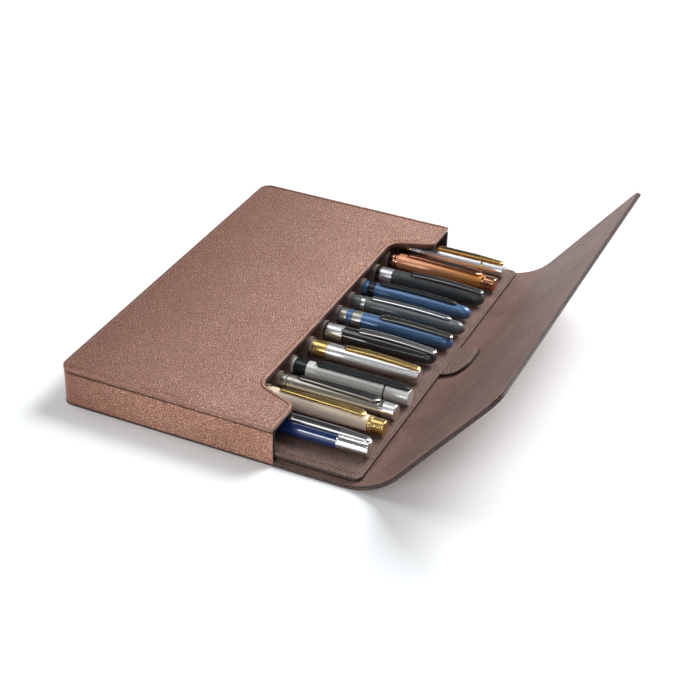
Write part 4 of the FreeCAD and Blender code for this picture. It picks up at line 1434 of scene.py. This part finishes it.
@dataclass
class PenBuilder:
    """Builds one pen's cap, bands, end piece and clip round its frame nodes."""

    number: int
    pen: Pen
    sides: int = 40
    edge: float = 0.15 * MM
    cap_step: float = 5 * MM
    crown_curve: float = 1.4
    dome_drop: float = 0.97
    end_drop: float = 0.5
    lip_reach: float = 20.0
    band_lift: float = 0.02
    groove_pitch: float = 0.45 * MM
    groove: float = 0.12 * MM
    clip_sides: int = 16
    clip_thickness: float = 1.6 * MM
    clip_ceiling: float = 2.0
    clip_steps: int = 28
    ribbed_steps: int = 64
    rib: float = 0.86
    rib_span: tuple[float, float] = (0.1, 0.85)
    end_thickness: float = 0.4
    slot_width: float = 0.3
    slot_depth: float = 0.1 * MM
    slot_lift: float = 0.03 * MM
    foot_width: float = 0.32
    foot_depth: float = 0.6 * MM
    foot_setback: float = 4.5 * MM

    # Each section of a clip's foot: millimetres from its start, and its share of the size
    FOOT = ((0, 0.8), (0.4, 1.0), (3.2, 1.0), (3.6, 0.8))

    def __post_init__(self) -> None:
        """Read the pen's place from the frame."""
        self.tag = f"pen_{self.number:02d}"
        low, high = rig.box(f"{self.tag}_trim")
        self.x, self.length = low.x, high.x - low.x
        low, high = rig.box(f"{self.tag}_barrel")
        self.lane, self.z = (low.y + high.y) / 2, (low.z + high.z) / 2

    def radius(self, place: float) -> float:
        """Return the cap's radius at a place from its lip."""
        pen, share = self.pen, place / self.length
        if share < 0.5:
            return MM * (pen.lip + (pen.belly - pen.lip) * math.sin(math.pi * share))
        crown = (2 * share - 1) ** self.crown_curve
        return MM * (pen.belly + (pen.crown - pen.belly) * crown)

    def ring(self, place: float, radius: float) -> Ring:
        """Return one round cross-section of the pen."""
        return Ring(self.x + place, self.z, radius, radius)

    def turned(
        self, name: str, outline: list[tuple[float, float]], finish: Finish
    ) -> bpy.types.Object:
        """Turn a half outline about the pen's axis and finish it."""
        rings = [self.ring(place, radius) for place, radius in outline]
        return dress(lofted(f"{self.tag}_{name}", self.lane, rings, self.sides), finish)

    def cap_outline(self, start: float, end: float) -> list[tuple[float, float]]:
        """Return the outline of a stretch of the cap."""
        places = [start, *steps_between(start, end, self.cap_step), end]
        return [(place, self.radius(place)) for place in places]

    def end_outline(self, start: float) -> list[tuple[float, float]]:
        """Return the outline of the cap's end, from where it starts to its last face."""
        reach = END_REACH[self.pen.end]
        centre = max(self.length - reach, start + self.edge)
        whole = self.radius(centre)
        domed = self.pen.end is EndStyle.DOME
        drop = whole * self.dome_drop if domed else min(reach, whole * self.end_drop)
        outline = self.cap_outline(start, centre)
        for turn in range(10, 91, 10):
            angle = math.radians(turn)
            place = centre + (self.length - centre) * math.sin(angle)
            outline.append((place, whole - drop * (1 - math.cos(angle))))
        return outline

    def make_shell(self) -> list[bpy.types.Object]:
        """Make the cap's shell and its end piece."""
        at_lip = (band.end for band in self.pen.bands if band.end < self.lip_reach)
        start = self.length - MM * self.pen.finial
        outline = self.cap_outline(MM * max(at_lip, default=0.0), start)
        cap = self.turned("cap_shell", outline, self.pen.body)
        end = self.turned("end_piece", self.end_outline(start), self.pen.tip)
        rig.replaces(cap, f"{self.tag}_cap")
        return [cap, end]

    def make_band(self, number: int, band: Band) -> bpy.types.Object:
        """Make one band, with rounded edges, and fine grooves where it is ribbed."""
        start, end, edge = band.start * MM, band.end * MM, self.edge
        lifted = (band.proud + self.band_lift) * MM
        first, last = start + edge, end - edge
        between = steps_between(first, last, self.groove_pitch) if band.ribbed else []
        outline = [(start, self.radius(start) + lifted - edge)]
        for index, place in enumerate([first, *between, last]):
            groove = self.groove if index % 2 else 0.0
            outline.append((place, self.radius(place) + lifted - groove))
        outline.append((end, self.radius(end) + lifted - edge))
        return self.turned(f"band_{number}", outline, band.finish)

    def clip_rings(self) -> list[Ring]:
        """Return the clip's cross-sections from toe to heel."""
        form, pen = CLIP_FORMS[self.pen.clip], self.pen
        toe, heel = pen.toe * MM, pen.heel * MM
        count = self.ribbed_steps if pen.ribbed else self.clip_steps
        top = (pen.belly + self.clip_ceiling) * MM - self.clip_thickness / 2
        first, last = self.rib_span
        rings = []
        for step in range(count + 1):
            share = step / count
            ending = form.ending(share)
            rib = self.rib if pen.ribbed and step % 2 and first < share < last else 1.0
            place = toe + (heel - toe) * share
            height = min(self.radius(place) + form.lift(share), top)
            across = 0.5 * pen.clip_width * MM * form.width(share) * ending * (1 + rib) / 2
            left = self.end_thickness + (1 - self.end_thickness) * ending
            up = 0.5 * self.clip_thickness * left * rib
            rings.append(Ring(self.x + place, self.z + height, across, up))
        return rings

    def make_clip(self) -> bpy.types.Object:
        """Make the clip, the near-black strip of painted shade along its slot, and the foot that it stands on."""
        pen, form = self.pen, CLIP_FORMS[self.pen.clip]
        name = f"{self.tag}_clip"
        rings = self.clip_rings()
        clip = lofted(name, self.lane, rings, self.clip_sides, form.square)
        pieces = [dress(clip, pen.metal)]
        # A slotted clip gets a thin near-black strip on its top: painted shade for the slot
        if pen.slotted:
            first, last = (round(share * len(rings)) for share in form.slot)
            lift = self.slot_lift - self.slot_depth
            slot = [Ring(r.x, r.z + r.up + lift, self.slot_width * r.across, self.slot_depth)
                    for r in rings[first:last]]
            pieces.append(dress(lofted(f"{name}_slot", self.lane, slot, 4), SLOT_SHADE))
        place = MM * pen.heel - self.foot_setback
        low, high = self.radius(place) - self.foot_depth, self.radius(place) + form.low
        middle, up = self.z + (low + high) / 2, (high - low) / 2
        wide = self.foot_width * pen.clip_width * MM
        stretch = [Ring(self.x + place + s * MM, middle, wide * w, up * w) for s, w in self.FOOT]
        foot = lofted(f"{name}_foot", self.lane, stretch, self.clip_sides)
        return joined(name, [*pieces, dress(foot, pen.metal)])

    def build(self) -> None:
        """Build the pen's pieces, which ride on its body."""
        pieces = self.make_shell()
        pieces += [self.make_band(number, band) for number, band in enumerate(self.pen.bands)]
        clip = self.make_clip()
        pieces.append(clip)
        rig.replaces(clip, f"{self.tag}_trim")
        dress(frame["nodes"][f"{self.tag}_barrel"], self.pen.barrel)
        for piece in pieces:
            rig.ride(piece, self.tag)
            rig.slot(piece, piece.data.materials[0].name.removesuffix(FINISHED))
        log.info("%s: %d pieces ride on %s", self.tag, len(pieces), self.tag)


@dataclass
class Elastic:
    """The ribbed elastic band: an arch over each pen, sewn down between them."""

    flare: float = 1.2 * MM
    bore: float = 0.3 * MM
    lift: float = 0.05 * MM
    tail: float = 2 * MM
    thickness: float = 0.7 * MM
    rib_pitch: float = 1.0 * MM
    rib_height: float = 0.22 * MM
    stitch_inset: float = 1.0 * MM
    arc_start: int = 195
    arc_step: int = 15

    def barrels(self) -> list[tuple[Vector, Vector]]:
        """Return the box of each pen's barrel, in order."""
        return [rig.box(f"pen_{number:02d}_barrel") for number in range(1, len(PENS) + 1)]

    def path(self) -> list[tuple[float, float]]:
        """Return the band's line across the tray, as Y and Z."""
        low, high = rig.box("pen_loops")
        base = low.z + self.lift
        line = [(low.y, base), (low.y + self.tail, base)]
        for first, last in self.barrels():
            lane, axis = (first.y + last.y) / 2, (first.z + last.z) / 2
            radius = (last.y - first.y) / 2 + self.bore
            line.append((lane - radius - self.flare, base))
            for turn in range(self.arc_start, 180 - self.arc_start - 1, -self.arc_step):
                angle = math.radians(turn)
                line.append((lane + radius * math.cos(angle), axis + radius * math.sin(angle)))
            line.append((lane + radius + self.flare, base))
        line.append((high.y, base))
        return line

    def make_band(self) -> bpy.types.Object:
        """Draw the band out along its path and raise its ribs."""
        low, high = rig.box("pen_loops")
        path = self.path()
        ribs = round((high.x - low.x) / self.rib_pitch) * 2
        middle = ((low.x + high.x) / 2, (path[0][0] + path[1][0]) / 2, path[0][1])
        bpy.ops.mesh.primitive_grid_add(
            x_subdivisions=ribs, y_subdivisions=1, size=1, location=middle
        )
        band = bpy.context.object
        band.scale = (high.x - low.x, path[1][0] - path[0][0], 1)
        settle(band, "elastic_band")
        with editing(band):
            pick(Part.POINT, lambda place, _: place.y > path[1][0] - NEAR)
            for before, after in zip(path[1:], path[2:]):
                step = (0, after[0] - before[0], after[1] - before[1])
                bpy.ops.mesh.extrude_region_move(TRANSFORM_OT_translate={"value": step})
        if sum(face.normal.z * face.area for face in band.data.polygons) < 0:
            band.data.flip_normals()
        group = band.vertex_groups.new(name="ribs")
        pitch = (high.x - low.x) / ribs
        raised = [v.index for v in band.data.vertices if round((v.co.x - low.x) / pitch) % 2]
        group.add(raised, 1.0, "REPLACE")
        settings = {"vertex_group": "ribs", "strength": self.rib_height, "mid_level": 0.0}
        apply_modifier(band, "DISPLACE", **settings)
        apply_modifier(band, "SOLIDIFY", thickness=self.thickness, offset=1)
        return dress(band, ELASTIC, angle=60)

    def sew_valleys(self) -> bpy.types.Object:
        """Sew the band down between the pens."""
        low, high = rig.box("pen_loops")
        rows = []
        lanes = [(first.y + last.y) / 2 for first, last in self.barrels()]
        height = low.z + self.lift + self.thickness + self.rib_height
        reach = (low.x + self.stitch_inset, high.x - self.stitch_inset)
        for before, after in zip(lanes, lanes[1:]):
            ends = [Vector((x, (before + after) / 2, height)) for x in reach]
            rows += FINE_SEAM.spots(ends, UP)
        return dress(FINE_SEAM.sew("elastic_stitches", rows), ELASTIC)

    def build(self) -> None:
        """Make the band and its stitches."""
        band, thread = self.make_band(), self.sew_valleys()
        for piece in (band, thread):
            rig.ride(piece, "tray")
            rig.slot(piece, "elastic")
        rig.replaces(band, "pen_loops")
        log.info("elastic: elastic_band and its stitches ride on tray")


# Studio


@dataclass(frozen=True)
class Lamp:
    """One soft oblong lamp that faces the case."""

    name: str
    place: tuple[float, float, float]
    size: tuple[float, float]
    power: float

    AIM = Vector((0.05, 0, 0))

    def build(self) -> None:
        """Hang the lamp in the scene."""
        data = bpy.data.lights.new(self.name, "AREA")
        data.shape, data.energy = "RECTANGLE", self.power
        data.size, data.size_y = self.size
        lamp = added(self.name, data)
        lamp.visible_camera = False
        lamp.location = self.place
        lamp.rotation_mode = "QUATERNION"
        lamp.rotation_quaternion = (self.AIM - Vector(self.place)).to_track_quat("-Z", "Y")


LAMPS = (
    Lamp("key_lamp", (0.55, 0.85, 1.1), (0.8, 0.8), 28.0),
    Lamp("fill_lamp", (-0.5, -0.1, 1.2), (0.8, 0.8), 4.5),
    Lamp("front_lamp", (0.3, -1.0, 0.9), (0.9, 0.35), 2.0),
    Lamp("low_lamp", (-0.28, -1.3, 0.3), (0.6, 0.2), 6.0),
)


@dataclass
class Studio:
    """A pale floor, soft lamps and the camera at the photograph's place."""

    camera_place: tuple[float, float, float] = (0.4196, -0.8077, 0.5741)
    yaw: float = math.radians(-23.973)
    pitch: float = math.radians(33.077)
    roll: float = math.radians(1.575)
    lens: float = 82.56
    sensor: float = 36.0
    ambient: float = 0.15
    floor_glow: float = 0.04
    glow_span: tuple[float, float] = (0.4, 1.1)
    hood_shade: float = 0.07
    hood_size: tuple[float, float, float] = (6, 6, 1.8)
    hood_height: float = 1.6
    floor_size: float = 8.0
    floor_gap: float = 0.05 * MM
    floor_colour: Colour = shade(238, 241, 243)
    floor_roughness: float = 0.9
    floor_gloss: float = 0.1

    def make_camera(self) -> None:
        """Make the camera."""
        camera = added("camera", bpy.data.cameras.new("camera"))
        camera.data.lens, camera.data.sensor_width = self.lens, self.sensor
        aim = Euler((math.pi / 2 - self.pitch, 0, -self.yaw)).to_matrix().to_4x4()
        roll = Matrix.Rotation(self.roll, 4, "Z")
        camera.matrix_world = Matrix.Translation(self.camera_place) @ aim @ roll
        bpy.context.scene.camera = camera

    def make_hood(self) -> None:
        """Hang a dark hood round the lamps. Only gloss shows it, so that metal has contrast."""
        bpy.ops.mesh.primitive_cube_add(size=1, location=(0, 0, self.hood_height))
        hood = bpy.context.object
        hood.scale = self.hood_size
        settle(hood, "hood")
        with editing(hood):
            pick(Part.FACE, lambda middle, normal: normal.z < -FACING)
            bpy.ops.mesh.delete(type="FACE")
        for ray in ("camera", "diffuse", "transmission", "shadow"):
            setattr(hood, f"visible_{ray}", False)
        graph = Graph("hood")
        graph.surface({
            "Base Color": BLACK,
            "Emission Color": WHITE,
            "Emission Strength": self.hood_shade,
        })
        hood.data.materials.append(graph.owner)
        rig.stage(hood)

    def seen(self, graph: Graph) -> bpy.types.NodeSocket:
        """Return 1 for rays that show the backdrop itself: camera, glossy or transmission."""
        path = graph.add("LightPath", {}).outputs
        found = path["Is Camera Ray"]
        for name in ("Is Glossy Ray", "Is Transmission Ray"):
            found = graph.math("MAXIMUM", found, path[name])
        return found

    def make_world(self) -> None:
        """Make the room: white where it is seen, and a plain soft light elsewhere."""
        graph = Graph("room", world=True)
        level = graph.ramp(self.seen(graph), 0.0, 1.0, self.ambient)
        graph.surface({"Color": WHITE, "Strength": level})
        bpy.context.scene.world = graph.owner

    def make_floor(self) -> None:
        """Make the floor, which keeps the shadow and glows white where the lamps end."""
        bpy.ops.mesh.primitive_plane_add(size=self.floor_size, location=(0, 0, -self.floor_gap))
        floor = settle(bpy.context.object, "floor")
        graph = Graph("floor")
        away = graph.add("VectorMath", {0: graph.place()}, operation="LENGTH").outputs["Value"]
        glow = graph.ramp(away, *self.glow_span, self.floor_glow)
        graph.surface({
            "Base Color": self.floor_colour,
            "Roughness": self.floor_roughness,
            "Specular IOR Level": self.floor_gloss,
            "Emission Color": WHITE,
            "Emission Strength": graph.math("MULTIPLY", self.seen(graph), glow),
        })
        floor.data.materials.append(graph.owner)
        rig.stage(floor)

    def build(self) -> None:
        """Set up camera, light and floor."""
        bpy.context.scene.view_settings.view_transform = "Standard"
        self.make_camera()
        self.make_world()
        self.make_floor()
        self.make_hood()
        for lamp in LAMPS:
            lamp.build()
        log.info("studio: camera, floor, hood and %d lamps", len(LAMPS))


def write_sizes() -> None:
    """Write the frame's box and the dressed case's box, as plain numbers."""
    sizes = {"cad": [list(c) for c in CAD_BOX], "visual": [list(c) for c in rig.bounds()]}
    with open(SIZE_FILE, "w") as file:
        json.dump(sizes, file)


def main() -> None:
    """Build the case, its pens and the studio."""
    logging.basicConfig(level=logging.INFO, format="%(message)s")
    free()
    Sleeve().build()
    Flap().build()
    Tray().build()
    PullTab().build()
    Elastic().build()
    for number, pen in enumerate(PENS, start=1):
        PenBuilder(number, pen).build()
    Studio().build()
    write_sizes()


if __name__ == "__main__":
    main()
